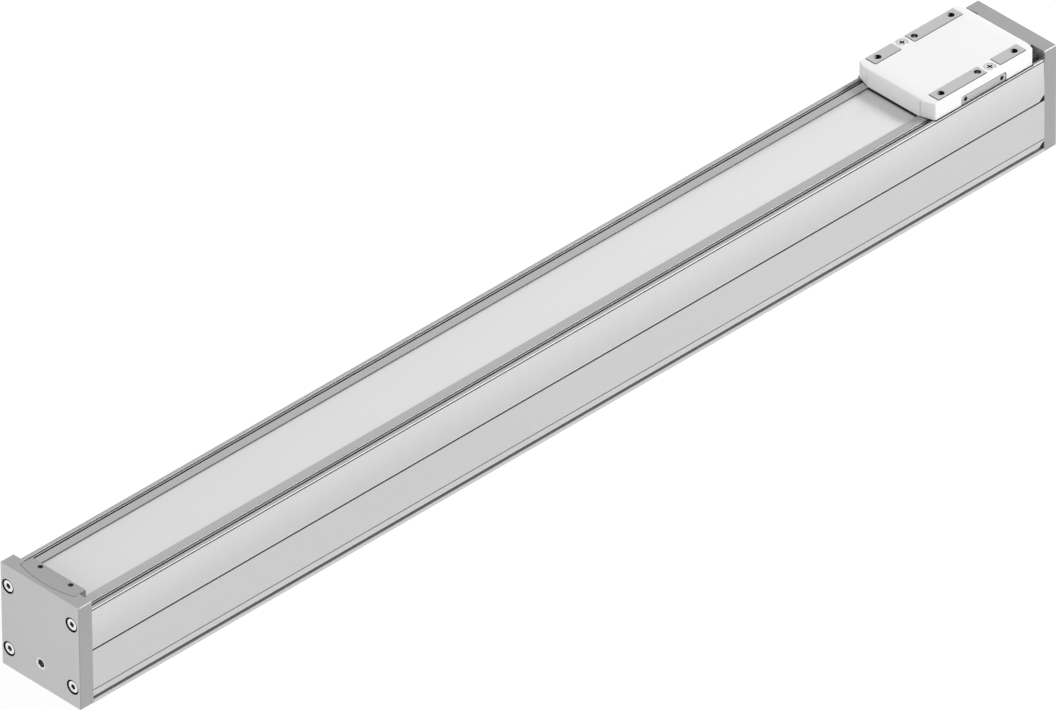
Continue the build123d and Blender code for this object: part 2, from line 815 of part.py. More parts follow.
def port_plugs():
    plug = set_screw(port_diameter, port_plug_key, port_plug_length)
    return both_ends(endwise(0, port_height, half_length - seat_gap - port_plug_length) * plug)


def end_buffers():
    """Rubber buffers on the caps' inner faces, which stop the slide's neck."""
    reach = inner_face - slide_reach - neck_half - buffer_gap
    body = endwise(0, buffer_height, inner_face - reach / 2) * Cylinder(buffer_diameter / 2, reach)
    front = body.faces().sort_by(Axis.X)[0].edges()
    body = chamfer(front, buffer_chamfer)
    stem = endwise(0, buffer_height, inner_face + buffer_stem_length / 2 - seat_gap / 2) * Cylinder(
        buffer_stem_diameter / 2, buffer_stem_length - seat_gap
    )
    return both_ends(body + stem)


# The slide is drawn at the far end of its travel, as it stands at rest.
def at_slide(piece):
    return Pos(slide_reach, 0, 0) * piece


nodes = {
    "profile": profile(),
    "guide_rail": guide_rail(),
    "rail_screws": rail_screws(),
    "runner_block": at_slide(runner_block()),
    "runner_end_caps": at_slide(runner_end_caps()),
    "runner_seals": at_slide(runner_seals()),
    "runner_screws": at_slide(runner_screws()),
    "slide_body": at_slide(slide_body()),
    "slide_screws": at_slide(slide_screws()),
    "slide_cover": at_slide(slide_cover()),
    "cover_screws": at_slide(cover_screws()),
    "strip_deflectors": at_slide(strip_deflectors()),
    "cover_strip": cover_strip(slide_reach),
    "magnet_strips": magnet_strips(),
    "far_end_cap": end_cap(plain_clamp_blank),
    "near_end_cap": mirror(end_cap(arc_clamp_blank), Plane.YZ),
    "far_strip_clamp": strip_clamp(plain_clamp_blank),
    "near_strip_clamp": mirror(strip_clamp(arc_clamp_blank), Plane.YZ),
    "far_cap_screws": cap_screws(),
    "near_cap_screws": mirror(cap_screws(), Plane.YZ),
    "clamp_set_screws": clamp_set_screws(),
    "port_plugs": port_plugs(),
    "end_buffers": end_buffers(),
}

os.makedirs("parts", exist_ok=True)
for name, node in nodes.items():
    node.label = name
    export_step(node, f"parts/{name}.step")
print("travel", round(2 * slide_reach, 2), "rest at x", round(slide_reach, 2))
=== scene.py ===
import bpy
import bmesh
import json
import math
from mathutils import Matrix, Vector


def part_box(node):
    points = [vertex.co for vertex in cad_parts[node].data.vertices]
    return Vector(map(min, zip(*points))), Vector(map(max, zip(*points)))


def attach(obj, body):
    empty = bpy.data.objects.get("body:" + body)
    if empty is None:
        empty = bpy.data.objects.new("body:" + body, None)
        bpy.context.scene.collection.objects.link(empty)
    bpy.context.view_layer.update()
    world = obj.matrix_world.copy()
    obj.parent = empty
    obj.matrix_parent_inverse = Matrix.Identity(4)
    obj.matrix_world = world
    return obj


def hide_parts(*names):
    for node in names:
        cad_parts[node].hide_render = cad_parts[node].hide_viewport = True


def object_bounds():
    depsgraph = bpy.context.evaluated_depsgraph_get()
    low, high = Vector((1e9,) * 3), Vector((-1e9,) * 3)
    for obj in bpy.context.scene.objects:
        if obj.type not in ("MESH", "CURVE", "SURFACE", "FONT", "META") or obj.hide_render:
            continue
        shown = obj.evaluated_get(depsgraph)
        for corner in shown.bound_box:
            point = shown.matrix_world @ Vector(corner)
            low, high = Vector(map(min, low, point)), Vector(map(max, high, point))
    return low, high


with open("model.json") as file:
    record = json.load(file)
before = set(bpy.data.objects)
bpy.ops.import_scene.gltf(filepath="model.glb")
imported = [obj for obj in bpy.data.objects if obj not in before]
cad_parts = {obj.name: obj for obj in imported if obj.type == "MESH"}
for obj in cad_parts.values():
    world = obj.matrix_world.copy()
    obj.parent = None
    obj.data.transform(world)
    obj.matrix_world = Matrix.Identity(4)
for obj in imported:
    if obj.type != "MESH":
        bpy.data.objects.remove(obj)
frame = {"nodes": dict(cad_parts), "record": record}
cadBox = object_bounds()
nodes = frame["nodes"]
mounts = {mount["name"]: mount for mount in frame["record"]["mounts"]}
slideX = mounts["slide_threads"]["pos_m"][0]
print("frame loaded:", len(nodes), "nodes")

mm = 0.001
fullTurn = 2 * math.pi
stripThickness = 0.2 * mm
mergeDistance = 0.001 * mm


def inMm(**sizes):   # lengths, and spans of several lengths, given in millimetres
    made = {}
    for name, size in sizes.items():
        made[name] = tuple(part * mm for part in size) if isinstance(size, tuple) else size * mm
    return made


# small helpers for the shaders


def addNode(tree, kind, values={}, **settings):   # a value that is a socket is linked, any other is set
    made = tree.nodes.new(kind)
    for name, value in settings.items():
        setattr(made, name, value)
    feed(tree, made, values)
    return made


def feed(tree, node, values):
    for name, value in values.items():
        if isinstance(value, bpy.types.NodeSocket):
            tree.links.new(value, node.inputs[name])
        else:
            node.inputs[name].default_value = value


def grey(level):
    return (level, level, level, 1.0)


def addRange(tree, value, low, high, fromLow=0.0, fromHigh=1.0, smooth=False):
    values = {"Value": value, "From Min": fromLow, "From Max": fromHigh, "To Min": low, "To Max": high}
    kind = "SMOOTHSTEP" if smooth else "LINEAR"
    return addNode(tree, "ShaderNodeMapRange", values, interpolation_type=kind).outputs["Result"]


def addMix(tree, factor, first, second, blend="MIX"):
    values = {0: factor, 6: first, 7: second}
    return addNode(tree, "ShaderNodeMix", values, data_type="RGBA", blend_type=blend).outputs[2]


def addMath(tree, operation, first, second=0.0):
    return addNode(tree, "ShaderNodeMath", {0: first, 1: second}, operation=operation).outputs["Value"]


def addProduct(tree, first, *others):
    for other in others:
        first = addMath(tree, "MULTIPLY", first, other)
    return first


def addRise(tree, value, span, base=0.0):   # 0 up to the span's start, 1 from its end, both counted from base
    return addRange(tree, value, 0.0, 1.0, base + span[0], base + span[1])


def addFall(tree, value, span, base=0.0):
    return addRange(tree, value, 1.0, 0.0, base + span[0], base + span[1])


def addBand(tree, value, low, high, soft):   # 1 from low to high, 0 outside, with soft edges
    return addProduct(tree, addRise(tree, value, (-soft, 0.0), low), addFall(tree, value, (0.0, soft), high))


def addReach(tree, value, middle):   # how far value lies from middle, on either side
    return addMath(tree, "ABSOLUTE", addMath(tree, "SUBTRACT", value, middle))


def addRadius(tree, first, second):
    squares = [addMath(tree, "MULTIPLY", part, part) for part in (first, second)]
    return addMath(tree, "SQRT", addMath(tree, "ADD", *squares))


def addTone(tree, colour, level):   # level is a number or a socket
    return addMix(tree, 1.0, colour, grey(level) if isinstance(level, float) else level, "MULTIPLY")


def addShades(tree, colour, *shades):   # each darkens or lifts the colour to its level where its mask is 1
    for mask, level in shades:
        colour = addMix(tree, mask, colour, addTone(tree, colour, level))
    return colour


def addNoise(tree, vector, scale, detail, roughness):
    values = {"Vector": vector, "Scale": scale, "Detail": detail, "Roughness": roughness}
    return addNode(tree, "ShaderNodeTexNoise", values).outputs["Fac"]


# surface effects that several finishes share


def startGroup(name, inputs, outputs):   # inputs name their kinds, outputs are all plain values
    group = bpy.data.node_groups.new(name, "ShaderNodeTree")
    for label, kind in inputs.items():
        group.interface.new_socket(label, in_out="INPUT", socket_type="NodeSocket" + kind)
    for label in outputs:
        group.interface.new_socket(label, in_out="OUTPUT", socket_type="NodeSocketFloat")
    return group, group.nodes.new("NodeGroupInput").outputs, group.nodes.new("NodeGroupOutput")


def makeStreaks():   # the long lines that drawing and brushing leave, stretched by cycles per metre
    group, start, end = startGroup("streaks", {"Vector": "Vector", "Stretch": "Vector"}, ("Fine", "Broad"))
    values = {0: start["Vector"], 1: start["Stretch"]}
    scaled = addNode(group, "ShaderNodeVectorMath", values, operation="MULTIPLY").outputs[0]
    contrast = (0.28, 0.72)
    fine = addNoise(group, scaled, scale=1.0, detail=3.0, roughness=0.6)
    broad = addNoise(group, scaled, scale=0.09, detail=2.0, roughness=0.5)
    feed(group, end, {"Fine": addRise(group, fine, contrast), "Broad": addRise(group, broad, contrast)})
    return group


def makeGrain():   # the even, fine tooth of blasted metal and moulded plastic
    group, start, end = startGroup("grain", {"Vector": "Vector", "Scale": "Float"}, ("Value", "Height"))
    contrast = (0.25, 0.75)
    cloud = addNoise(group, start["Vector"], start["Scale"], detail=2.0, roughness=0.65)
    values = {name: start[name] for name in ("Vector", "Scale")}
    cells = addNode(group, "ShaderNodeTexVoronoi", values, feature="SMOOTH_F1").outputs["Distance"]
    feed(group, end, {"Value": addRise(group, cloud, contrast), "Height": addProduct(group, cells, cloud)})
    return group


def makeSmudges():   # slow changes of gloss, as handling and uneven anodising leave them
    group, start, end = startGroup("smudges", {"Vector": "Vector", "Scale": "Float"}, ("Value",))
    cloud = addNoise(group, start["Vector"], start["Scale"], detail=4.0, roughness=0.55)
    feed(group, end, {"Value": addRange(group, cloud, 0.0, 1.0, fromLow=0.3, fromHigh=0.7, smooth=True)})
    return group


groups = {"streaks": makeStreaks(), "grain": makeGrain(), "smudges": makeSmudges()}


def useGroup(tree, name, **values):
    return addNode(tree, "ShaderNodeGroup", values, node_tree=groups[name]).outputs


def startMaterial(name, metallic):
    material = bpy.data.materials.new(name)
    material.use_nodes = True
    tree = material.node_tree
    shader = tree.nodes["Principled BSDF"]
    feed(tree, shader, {"Metallic": metallic})
    return material, tree, shader, addNode(tree, "ShaderNodeTexCoord").outputs["Object"]


def closeMaterial(tree, shader, look, colour, gloss, height):
    rough = addRange(tree, gloss, look["rough"] - look["roughVary"], look["rough"] + look["roughVary"])
    values = {"Strength": look["bump"], "Distance": look["bumpDepth"], "Height": height}
    feed(tree, shader, {
        "Base Color": colour, "Specular IOR Level": look["specular"], "Roughness": rough,
        "Normal": addNode(tree, "ShaderNodeBump", values).outputs["Normal"],
    })


# metals and mouldings: each look has its tones, its gloss, how much they vary, and a metal's lines


def makeMetal(name, look, toneAt=None):
    material, tree, shader, place = startMaterial(name, look["metallic"])
    lines = useGroup(tree, "streaks", Vector=place, Stretch=look["stretch"])
    tooth = useGroup(tree, "grain", Vector=place, Scale=look["grainScale"])
    marks = useGroup(tree, "smudges", Vector=place, Scale=look["smudgeScale"])["Value"]
    fine = addProduct(tree, lines["Fine"], look["lineShare"])
    pattern = addMath(tree, "ADD", fine, addProduct(tree, tooth["Value"], 1 - look["lineShare"]))
    broad = addProduct(tree, lines["Broad"], look["broadShare"])
    mix = addMath(tree, "ADD", addProduct(tree, pattern, 1 - look["broadShare"]), broad)
    colour = addMix(tree, mix, *(grey(look["tone"] * (1 + vary)) for vary in (-look["vary"], look["vary"])))
    if toneAt:
        colour = addTone(tree, colour, toneAt(tree, place))
    closeMaterial(tree, shader, look, colour, marks, pattern)
    return material


def makeMoulded(name, look, toneAt=None):
    material, tree, shader, place = startMaterial(name, 0.0)
    tooth = useGroup(tree, "grain", Vector=place, Scale=look["grainScale"])
    marks = useGroup(tree, "smudges", Vector=place, Scale=look["smudgeScale"])["Value"]
    colour = addMix(tree, marks, look["dark"], look["light"])
    if toneAt:
        colour = addTone(tree, colour, toneAt(tree, place))
    closeMaterial(tree, shader, look, colour, tooth["Value"], tooth["Height"])
    return material


drawn = dict(
    tone=0.605, vary=0.02, metallic=0.35, rough=0.42, roughVary=0.04, specular=0.2,
    stretch=(6.0, 1400.0, 1400.0), lineShare=0.8, broadShare=0.4, grainScale=2600.0, smudgeScale=14.0,
    bump=0.12, bumpDepth=0.02 * mm,
)
milled = dict(
    tone=0.42, vary=0.02, metallic=0.8, rough=0.45, roughVary=0.04, specular=0.5,
    stretch=(900.0, 900.0, 30.0), lineShare=0.3, broadShare=0.4, grainScale=2400.0, smudgeScale=30.0,
    bump=0.12, bumpDepth=0.02 * mm,
)
moulded = dict(
    dark=grey(0.04), light=grey(0.055), rough=0.45, roughVary=0.06, specular=0.4,
    grainScale=1800.0, smudgeScale=60.0, bump=0.2, bumpDepth=0.02 * mm,
)
rubber = {**moulded, "roughVary": 0.08, "specular": 0.3, "bump": 0.3, "bumpDepth": 0.03 * mm}


# tones by place, painted light and shade: a pair of lengths is the span over which a tone comes or goes, a
# third is a band's soft edge


def splitPlace(tree, place):
    parts = addNode(tree, "ShaderNodeSeparateXYZ", {0: place}).outputs
    return [parts[axis] for axis in "XYZ"]


along = dict(inMm(nearX=-300, farX=250, half=18.6), near=0.985, far=0.98, right=0.985, left=1.06)


def alongTone(tree, x):   # painted light: a slow change of brightness from the near end to the far end
    return addRange(tree, x, along["near"], along["far"], along["nearX"], along["farX"])


def stripTone(tree, place):   # painted light: the same change, and a rise in brightness from the right edge to the left that offsets how the light falls across the strip
    x, y = splitPlace(tree, place)[:2]
    across = addRange(tree, y, along["right"], along["left"], -along["half"], along["half"])
    return addTone(tree, alongTone(tree, x), across)


section = dict(
    inMm(
        topSpan=(-0.6, -0.35), upperStart=35.5, upperEnd=60, roundStart=28.95, roundRun=(0.0, 0.2),
        roundSpan=(-0.55, -0.35), lightSoft=0.08, grooveHeight=34.6, crown=0.35, overGroove=1.3,
        overSpan=(0.15, 0.3), grooveDepth=(0.04, 0.35), grooveTop=(-0.2, -0.05), footSlot=(6, 7),
        lineDrop=1.22, lineSpan=(0.42, 0.45), lineSide=(28, 29), below=(-0.12, -0.04),
        soft=0.05, wallLow=18.6, wallHigh=18.95, slotLow=24.05, slotHigh=27.75, slotDepth=1.4,
        slotRise=0.3, crease=0.6, creaseSpan=(0.05, 0.1), capSpan=(-6, -4.8), capSide=(28.8, 29),
        capDrop=(-3, -2),
    ),
    topTone=0.785, upperTone=1.145, roundTone=0.42,
    lights=((0.68 * mm, 0.5 * mm, 1.75), (0.42 * mm, 0.28 * mm, 1.2)), overTone=1.13, grooveTone=0.5,
    footSlotTone=0.12, lineTone=0.15, wallTone=0.28, slotDark=0.55, slotLight=1.15, creaseTone=0.12,
    capTone=0.42,
)


def profileTone(tree, place):   # painted light and shade: darker on top and in the grooves, with a slow rise up the side
    look = section
    side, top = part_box("profile")[1].yz
    x, across, z = splitPlace(tree, place)
    y = addMath(tree, "ABSOLUTE", across)
    floor = top - look["slotDepth"]
    # painted light: the side brightens slowly towards the top
    rise = addRange(tree, z, 1.0, look["upperTone"], look["upperStart"], look["upperEnd"], True)
    # painted shade: the top is darker than the side, as the light falls
    onTop = addRise(tree, z, look["topSpan"], top)
    colour = addMix(tree, onTop, rise, addTone(tree, alongTone(tree, x), look["topTone"]))
    # painted shade on the upper part of the top edge's rounding, and two bands of painted highlight below it
    onEdge = addRise(tree, y, look["roundRun"], look["roundStart"])
    onEdge = addProduct(tree, onEdge, addRise(tree, z, look["roundSpan"], top))
    soft = look["lightSoft"]
    lights = [(addBand(tree, z, top - low, top - high, soft), level) for low, high, level in look["lights"]]
    # painted highlight: a bright line just above the side groove
    overGroove = addFall(tree, addReach(tree, z, look["grooveHeight"] + look["overGroove"]), look["overSpan"])
    # painted shade: dark inside the side groove, and less dark inside the foot slot
    lean = addRange(tree, z, 0.0, 1.0, look["grooveHeight"], top)
    lean = addProduct(tree, lean, lean, look["crown"])
    depth = addMath(tree, "SUBTRACT", side, addMath(tree, "ADD", y, lean))
    inGroove = addRise(tree, depth, look["grooveDepth"])
    inGroove = addProduct(tree, inGroove, addFall(tree, z, look["grooveTop"], floor))
    grooveLevel = addRange(tree, z, look["grooveTone"], look["footSlotTone"], *look["footSlot"])
    # painted shade: a dark line in the crease under the top edge
    line = addFall(tree, addReach(tree, z, top - look["lineDrop"]), look["lineSpan"])
    line = addProduct(tree, line, addRise(tree, y, look["lineSide"]))
    # painted shade on the walls of the strip's recess
    belowTop, soft = addFall(tree, z, look["below"], top), look["soft"]
    wall = addProduct(tree, addBand(tree, y, look["wallLow"], look["wallHigh"], soft), belowTop)
    # painted shade on the slots' floors and a dark crease along the foot of each far wall, painted light on
    # the walls above
    low, high, crease = look["slotLow"], look["slotHigh"], look["crease"]
    walls = [addBand(tree, across, wallY - crease, wallY + soft, soft) for wallY in (-low, high)]
    inCrease = addProduct(tree, addMath(tree, "ADD", *walls), addFall(tree, z, look["creaseSpan"], floor))
    slotLevel = addRange(tree, z, look["slotDark"], look["slotLight"], floor + soft, floor + look["slotRise"])
    slotLevel = addShades(tree, slotLevel, (inCrease, look["creaseTone"]))
    inSlot = addProduct(tree, addBand(tree, y, low - soft, high + soft, soft), belowTop)
    # painted shadow: the far cap's shadow on the profile's top in front of it
    nearCap = addProduct(
        tree, addRise(tree, x, look["capSpan"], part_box("far_end_cap")[0].x),
        addFall(tree, y, look["capSide"]), addRise(tree, z, look["capDrop"], top),
    )
    return addShades(
        tree, colour, (onEdge, look["roundTone"]), *lights, (overGroove, look["overTone"]),
        (inGroove, grooveLevel), (line, look["lineTone"]), (wall, look["wallTone"]), (inSlot, slotLevel),
        (nearCap, look["capTone"]),
    )


socketShade = dict(
    inMm(
        head=3.5, flank=(3.45, 4.2, 0.15), below=(-0.3, -0.1), screw=(2, 2.2), plug=(2.6, 2.8),
        cross=(-0.22, -0.12),
    ),
    flankTone=0.1, tone=0.25, crossTone=0.02,
)


def fromCapScrew(tree, y, z):   # how far a point lies from the nearest cap screw's axis
    low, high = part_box("far_cap_screws")
    reachY, reachZ = (high.y - low.y) / 2 - socketShade["head"], (high.z - low.z) / 2 - socketShade["head"]
    return addRadius(
        tree, addReach(tree, addMath(tree, "ABSOLUTE", y), reachY),
        addReach(tree, addReach(tree, z, (low.z + high.z) / 2), reachZ),
    )


def fromPortPlug(tree, y, z):
    low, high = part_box("port_plugs")
    return addRadius(tree, y, addReach(tree, z, (low.z + high.z) / 2))


def socketTone(tree, place):   # painted shade: the keys' sockets are dark below their mouths, and so are the heads' flanks
    look = socketShade
    x, y, z = splitPlace(tree, place)
    distance = addMath(tree, "ABSOLUTE", x)
    fromScrew, fromPlug = fromCapScrew(tree, y, z), fromPortPlug(tree, y, z)
    shades = [(addBand(tree, fromScrew, *look["flank"]), look["flankTone"])]
    for away, node, radius in ((fromScrew, "far_cap_screws", "screw"), (fromPlug, "port_plugs", "plug")):
        below = addFall(tree, distance, look["below"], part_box(node)[1].x)
        shades.append((addProduct(tree, below, addFall(tree, away, look[radius])), look["tone"]))
    return addShades(tree, grey(1.0), *shades)


def darkBelow(tree, z, top, span, level):   # level below the span under the top, plain above it
    return addMix(tree, addRise(tree, z, span, top), grey(level), grey(1.0))


def coverScrewTone(tree, place):   # painted shade: the cross recesses are black below the heads' tops
    z = splitPlace(tree, place)[2]
    return darkBelow(tree, z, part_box("cover_screws")[1].z, socketShade["cross"], socketShade["crossTone"])


capShade = dict(
    inMm(
        face=(-0.3, -0.02), bore=(4.35, 4.5), port=(3.25, 3.35), edge=(0.35, 0.4), seam=(0.55, 0.6),
        seamMiddle=1, recessTop=(0.08, 0.15), recessLow=0.5, recessSoft=0.01, recessSide=(0.4, 0.5),
        recessFront=(1, 1.1), back=(0.05, 0.1), backTop=(0.3, 0.5), clamp=(-0.15, -0.03),
    ),
    faceTone=1.42, boreTone=0.01, portTone=2.2, sideTopTone=0.7, topFaceTone=1.3, sideFaceTone=0.8,
    topBackTone=1.6, seamNear=0.3, seamFar=1.35, recessTone=0.1, backTone=0.4, clampTone=0.65,
)


def capTone(tree, place):   # painted light and shade: the outer faces are brighter than the sides, and the bores are dark
    look = capShade
    x, y, z = splitPlace(tree, place)
    low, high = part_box("far_end_cap")
    distance, across = addMath(tree, "ABSOLUTE", x), addMath(tree, "ABSOLUTE", y)
    fromSide, fromTop, fromFace, fromBack = (
        addMath(tree, "SUBTRACT", *pair)
        for pair in ((high.y, across), (high.z, z), (high.x, distance), (distance, low.x))
    )
    # painted light: the outer end faces are lit brighter than the sides
    colour = addMix(tree, addRise(tree, distance, look["face"], high.x), grey(1.0), grey(look["faceTone"]))
    # painted shade in the screws' counterbores, and a painted highlight round each port
    bores = ((fromCapScrew(tree, y, z), "bore"), (fromPortPlug(tree, y, z), "port"))
    shades = [(addFall(tree, away, look[name]), look[name + "Tone"]) for away, name in bores]
    # painted highlights and dark lines along the edges
    for first, second, name in (
        (fromSide, fromTop, "sideTop"), (fromTop, fromFace, "topFace"), (fromSide, fromFace, "sideFace"),
        (fromTop, fromBack, "topBack"),
    ):
        atEdge = addProduct(tree, *(addFall(tree, part, look["edge"]) for part in (first, second)))
        shades.append((atEdge, look[name + "Tone"]))
    # painted shade in the seam along the near cap's back edge, painted light in the far cap's
    seam = addProduct(tree, *(addFall(tree, part, look["seam"]) for part in (fromSide, fromBack)))
    seamLevel = addRange(tree, x, look["seamNear"], look["seamFar"], -look["seamMiddle"], look["seamMiddle"])
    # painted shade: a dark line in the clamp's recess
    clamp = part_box("near_strip_clamp")
    inRecess = addProduct(
        tree, addRise(tree, fromTop, look["recessTop"]),
        addBand(tree, z, clamp[0].z - look["recessLow"], high.z, look["recessSoft"]),
        addFall(tree, across, look["recessSide"], clamp[1].y), addRise(tree, fromFace, look["recessFront"]),
    )
    # painted shade on the inner faces below the top
    back = addProduct(tree, addFall(tree, fromBack, look["back"]), addRise(tree, fromTop, look["backTop"]))
    return addShades(
        tree, colour, *shades, (seam, seamLevel), (inRecess, look["recessTone"]), (back, look["backTone"])
    )


def clampTone(tree, place):   # painted shade: darker below the plates' tops, where they lie in the caps
    z = splitPlace(tree, place)[2]
    return darkBelow(tree, z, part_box("near_strip_clamp")[1].z, capShade["clamp"], capShade["clampTone"])


slideShade = dict(
    inMm(
        shadowGap=0.04, rim=(-0.02, 0.0), seam=(20, 20.5, 0.05), nose=(-1, -0.9), panelHalf=17,
        panelHeight=5.3, panelCorner=2, panelInset=0.5, panelEdge=(-0.35, -0.3), panelRise=(0.3, 1.1),
        panelFoot=(0.0, 0.05), padLow=2, padHigh=0.04, padSoft=0.02, below=(-0.5, -0.15),
        thread=(2.2, 2.25), litAlong=(0.5, 0.8), litAcross=(1.2, 1.5), litLow=1.3, litHigh=0.2,
        litSoft=0.05, bore=(2.05, 2.1), boreFade=(0.7, 1.6), lug=(1.35, 1.4),
    ),
    blackTone=0.01, seamTone=0.85, edgeTone=0.08, riseTone=1.7, padTone=0.15, threadTone=0.06,
    litTone=40.0, boreMiddle=3.0, boreSide=0.3, lugTone=0.05,
)


def hoodTone(tree, place):   # painted shade: black in the gap under the hood, on all that hangs below the rim, and a fine dark line in each seam beside the nose
    look = slideShade
    x, y, z = splitPlace(tree, place)
    low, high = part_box("slide_cover")
    colour = darkBelow(tree, z, low.z + look["shadowGap"], look["rim"], look["blackTone"])
    atNose = addRise(tree, addReach(tree, x, (low.x + high.x) / 2), look["nose"], (high.x - low.x) / 2)
    seam = addProduct(tree, addBand(tree, addMath(tree, "ABSOLUTE", y), *look["seam"]), atNose)
    return addShades(tree, colour, (seam, look["seamTone"]))


def panelShades(tree, fromMiddle, y, z):   # painted light and shade on the panel in each flank: a dark outline and a black foot, and painted light on its lowest part
    look = slideShade
    bottom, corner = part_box("slide_cover")[0].z, look["panelCorner"]
    past = addMath(tree, "SUBTRACT", fromMiddle, look["panelHalf"] - corner)
    above = addMath(tree, "SUBTRACT", z, bottom + look["panelHeight"] - corner)
    reach = addRadius(tree, *(addMath(tree, "MAXIMUM", part, 0.0) for part in (past, above)))
    face = mounts["left_flank_threads"]["pos_m"][1] - look["panelInset"]
    outside = addMath(tree, "GREATER_THAN", addMath(tree, "ABSOLUTE", y), face)
    masks = (
        (addRise(tree, reach, look["panelEdge"], corner), look["edgeTone"]),
        (addFall(tree, z, look["panelRise"], bottom), look["riseTone"]),
        (addFall(tree, z, look["panelFoot"], bottom + look["shadowGap"]), look["blackTone"]),
    )
    return [(addProduct(tree, mask, outside), level) for mask, level in masks]


def slideTone(tree, place):   # painted light and shade: the threaded holes and centring bores are dark below their mouths, each threaded hole with a painted glint and each bore with a painted highlight across its middle; the pads' sides and the lug holes are dark too
    look = slideShade
    x, y, z = splitPlace(tree, place)
    threads, lugs = mounts["slide_threads"], mounts["left_flank_threads"]
    top = threads["pos_m"][2]
    holeX, rowY = (threads["dims"][name] * mm / 2 for name in ("spacing_x_mm", "spacing_y_mm"))
    fromMiddle = addReach(tree, x, slideX)
    # painted shade on the pads' sides
    padSide = addBand(tree, z, top - look["padLow"], top - look["padHigh"], look["padSoft"])
    fromRow = addMath(tree, "SUBTRACT", y, addProduct(tree, addMath(tree, "SIGN", y), rowY))
    fromHoleX = addMath(tree, "SUBTRACT", fromMiddle, holeX)
    below = addFall(tree, z, look["below"], top)
    # painted shade in the threaded holes
    inHole = addFall(tree, addRadius(tree, fromHoleX, fromRow), look["thread"])
    # painted glint on the far side of each threaded hole
    lit = addProduct(
        tree, addFall(tree, addMath(tree, "ABSOLUTE", fromHoleX), look["litAlong"]),
        addRise(tree, fromRow, look["litAcross"]),
        addBand(tree, z, top - look["litLow"], top - look["litHigh"], look["litSoft"]), inHole,
    )
    # painted highlight across the middle of each centring bore, painted shade at its sides
    inBore = addProduct(tree, addFall(tree, addRadius(tree, fromMiddle, fromRow), look["bore"]), below)
    fromView = addMath(tree, "SUBTRACT", addMath(tree, "SUBTRACT", x, slideX), fromRow)
    fromView = addMath(tree, "ABSOLUTE", fromView)
    boreLevel = addRange(tree, fromView, look["boreMiddle"], look["boreSide"], *look["boreFade"])
    # painted shade in the lug holes
    fromLug = addReach(tree, fromMiddle, lugs["dims"]["spacing_x_mm"] * mm / 2)
    fromLug = addRadius(tree, fromLug, addReach(tree, z, lugs["pos_m"][2]))
    return addShades(
        tree, grey(1.0), (padSide, look["padTone"]), *panelShades(tree, fromMiddle, y, z),
        (addProduct(tree, inHole, below), look["threadTone"]), (lit, look["litTone"]), (inBore, boreLevel),
        (addFall(tree, fromLug, look["lug"]), look["lugTone"]),
    )


finishes = {
    "profile_anodised": makeMetal("profileAnodised", drawn, profileTone),
    "cap_aluminium": makeMetal("capAluminium", milled, capTone),
    "clamp_aluminium": makeMetal("clampAluminium", {**milled, "tone": 0.4}, clampTone),
    "slide_aluminium": makeMetal("slideAluminium", {
        **milled, "tone": 0.58, "stretch": (60.0, 1200.0, 1200.0), "lineShare": 0.6,
    }, slideTone),
    "strip_steel": makeMetal("stripSteel", {
        **drawn, "tone": 0.765, "vary": 0.012, "metallic": 0.2, "rough": 0.24,
        "stretch": (4.0, 2200.0, 2200.0), "smudgeScale": 9.0,
    }, stripTone),
    "guide_steel": makeMetal("guideSteel", {**drawn, "tone": 0.5, "rough": 0.3, "metallic": 0.8}),
    "screw_steel": makeMetal("screwSteel", {**milled, "tone": 0.5, "rough": 0.38}),
    "cap_screw_steel": makeMetal("capScrewSteel", {
        **milled, "tone": 0.97, "rough": 0.3, "stretch": (700.0, 700.0, 700.0), "vary": 0.02,
    }, socketTone),
    "cover_screw_steel": makeMetal("coverScrewSteel", {
        **milled, "tone": 0.74, "rough": 0.34, "stretch": (700.0, 700.0, 700.0), "vary": 0.04,
    }, coverScrewTone),
    "set_screw_steel": makeMetal("setScrewSteel", {**milled, "tone": 0.05, "rough": 0.45, "vary": 0.1}),
    "cover_plastic": makeMoulded("coverPlastic", {
        **moulded, "dark": grey(0.895), "light": grey(0.91), "rough": 0.5, "roughVary": 0.05,
        "specular": 0.35, "grainScale": 1500.0, "smudgeScale": 25.0, "bump": 0.05,
    }, hoodTone),
    "deflector_plastic": makeMoulded("deflectorPlastic", moulded),
    "runner_plastic": makeMoulded("runnerPlastic", {
        **moulded, "dark": (0.05, 0.07, 0.1, 1.0), "light": (0.07, 0.09, 0.13, 1.0), "rough": 0.4,
        "specular": 0.45,
    }),
    "seal_rubber": makeMoulded("sealRubber", {
        **rubber, "dark": grey(0.02), "light": grey(0.03), "rough": 0.7, "grainScale": 1200.0,
    }),
    "buffer_rubber": makeMoulded("bufferRubber", {
        **rubber, "dark": grey(0.025), "light": grey(0.04), "rough": 0.75, "grainScale": 1000.0,
    }),
    "magnet_rubber": makeMoulded("magnetRubber", {
        **rubber, "dark": (0.05, 0.045, 0.045, 1.0), "light": (0.08, 0.07, 0.07, 1.0), "rough": 0.65,
        "grainScale": 1400.0, "smudgeScale": 40.0,
    }),
}
for part in frame["record"]["subparts"]:
    data = nodes[part["node"]].data
    data.materials.clear()
    data.materials.append(finishes[part["material_slot"]])
print("finishes:", len(finishes))


# small helpers for the meshes


def lathe(points, steps):   # turns an outline of (radius, height) about Z
    bm = bmesh.new()
    line = [bm.verts.new((radius, 0.0, height)) for radius, height in points]
    edges = [bm.edges.new(pair) for pair in zip(line, line[1:])]
    bmesh.ops.spin(
        bm, geom=line + edges, cent=(0, 0, 0), axis=(0, 0, 1), angle=fullTurn, steps=steps, use_merge=True
    )
    bmesh.ops.remove_doubles(bm, verts=bm.verts, dist=mergeDistance)
    bmesh.ops.recalc_face_normals(bm, faces=bm.faces)
    return bm


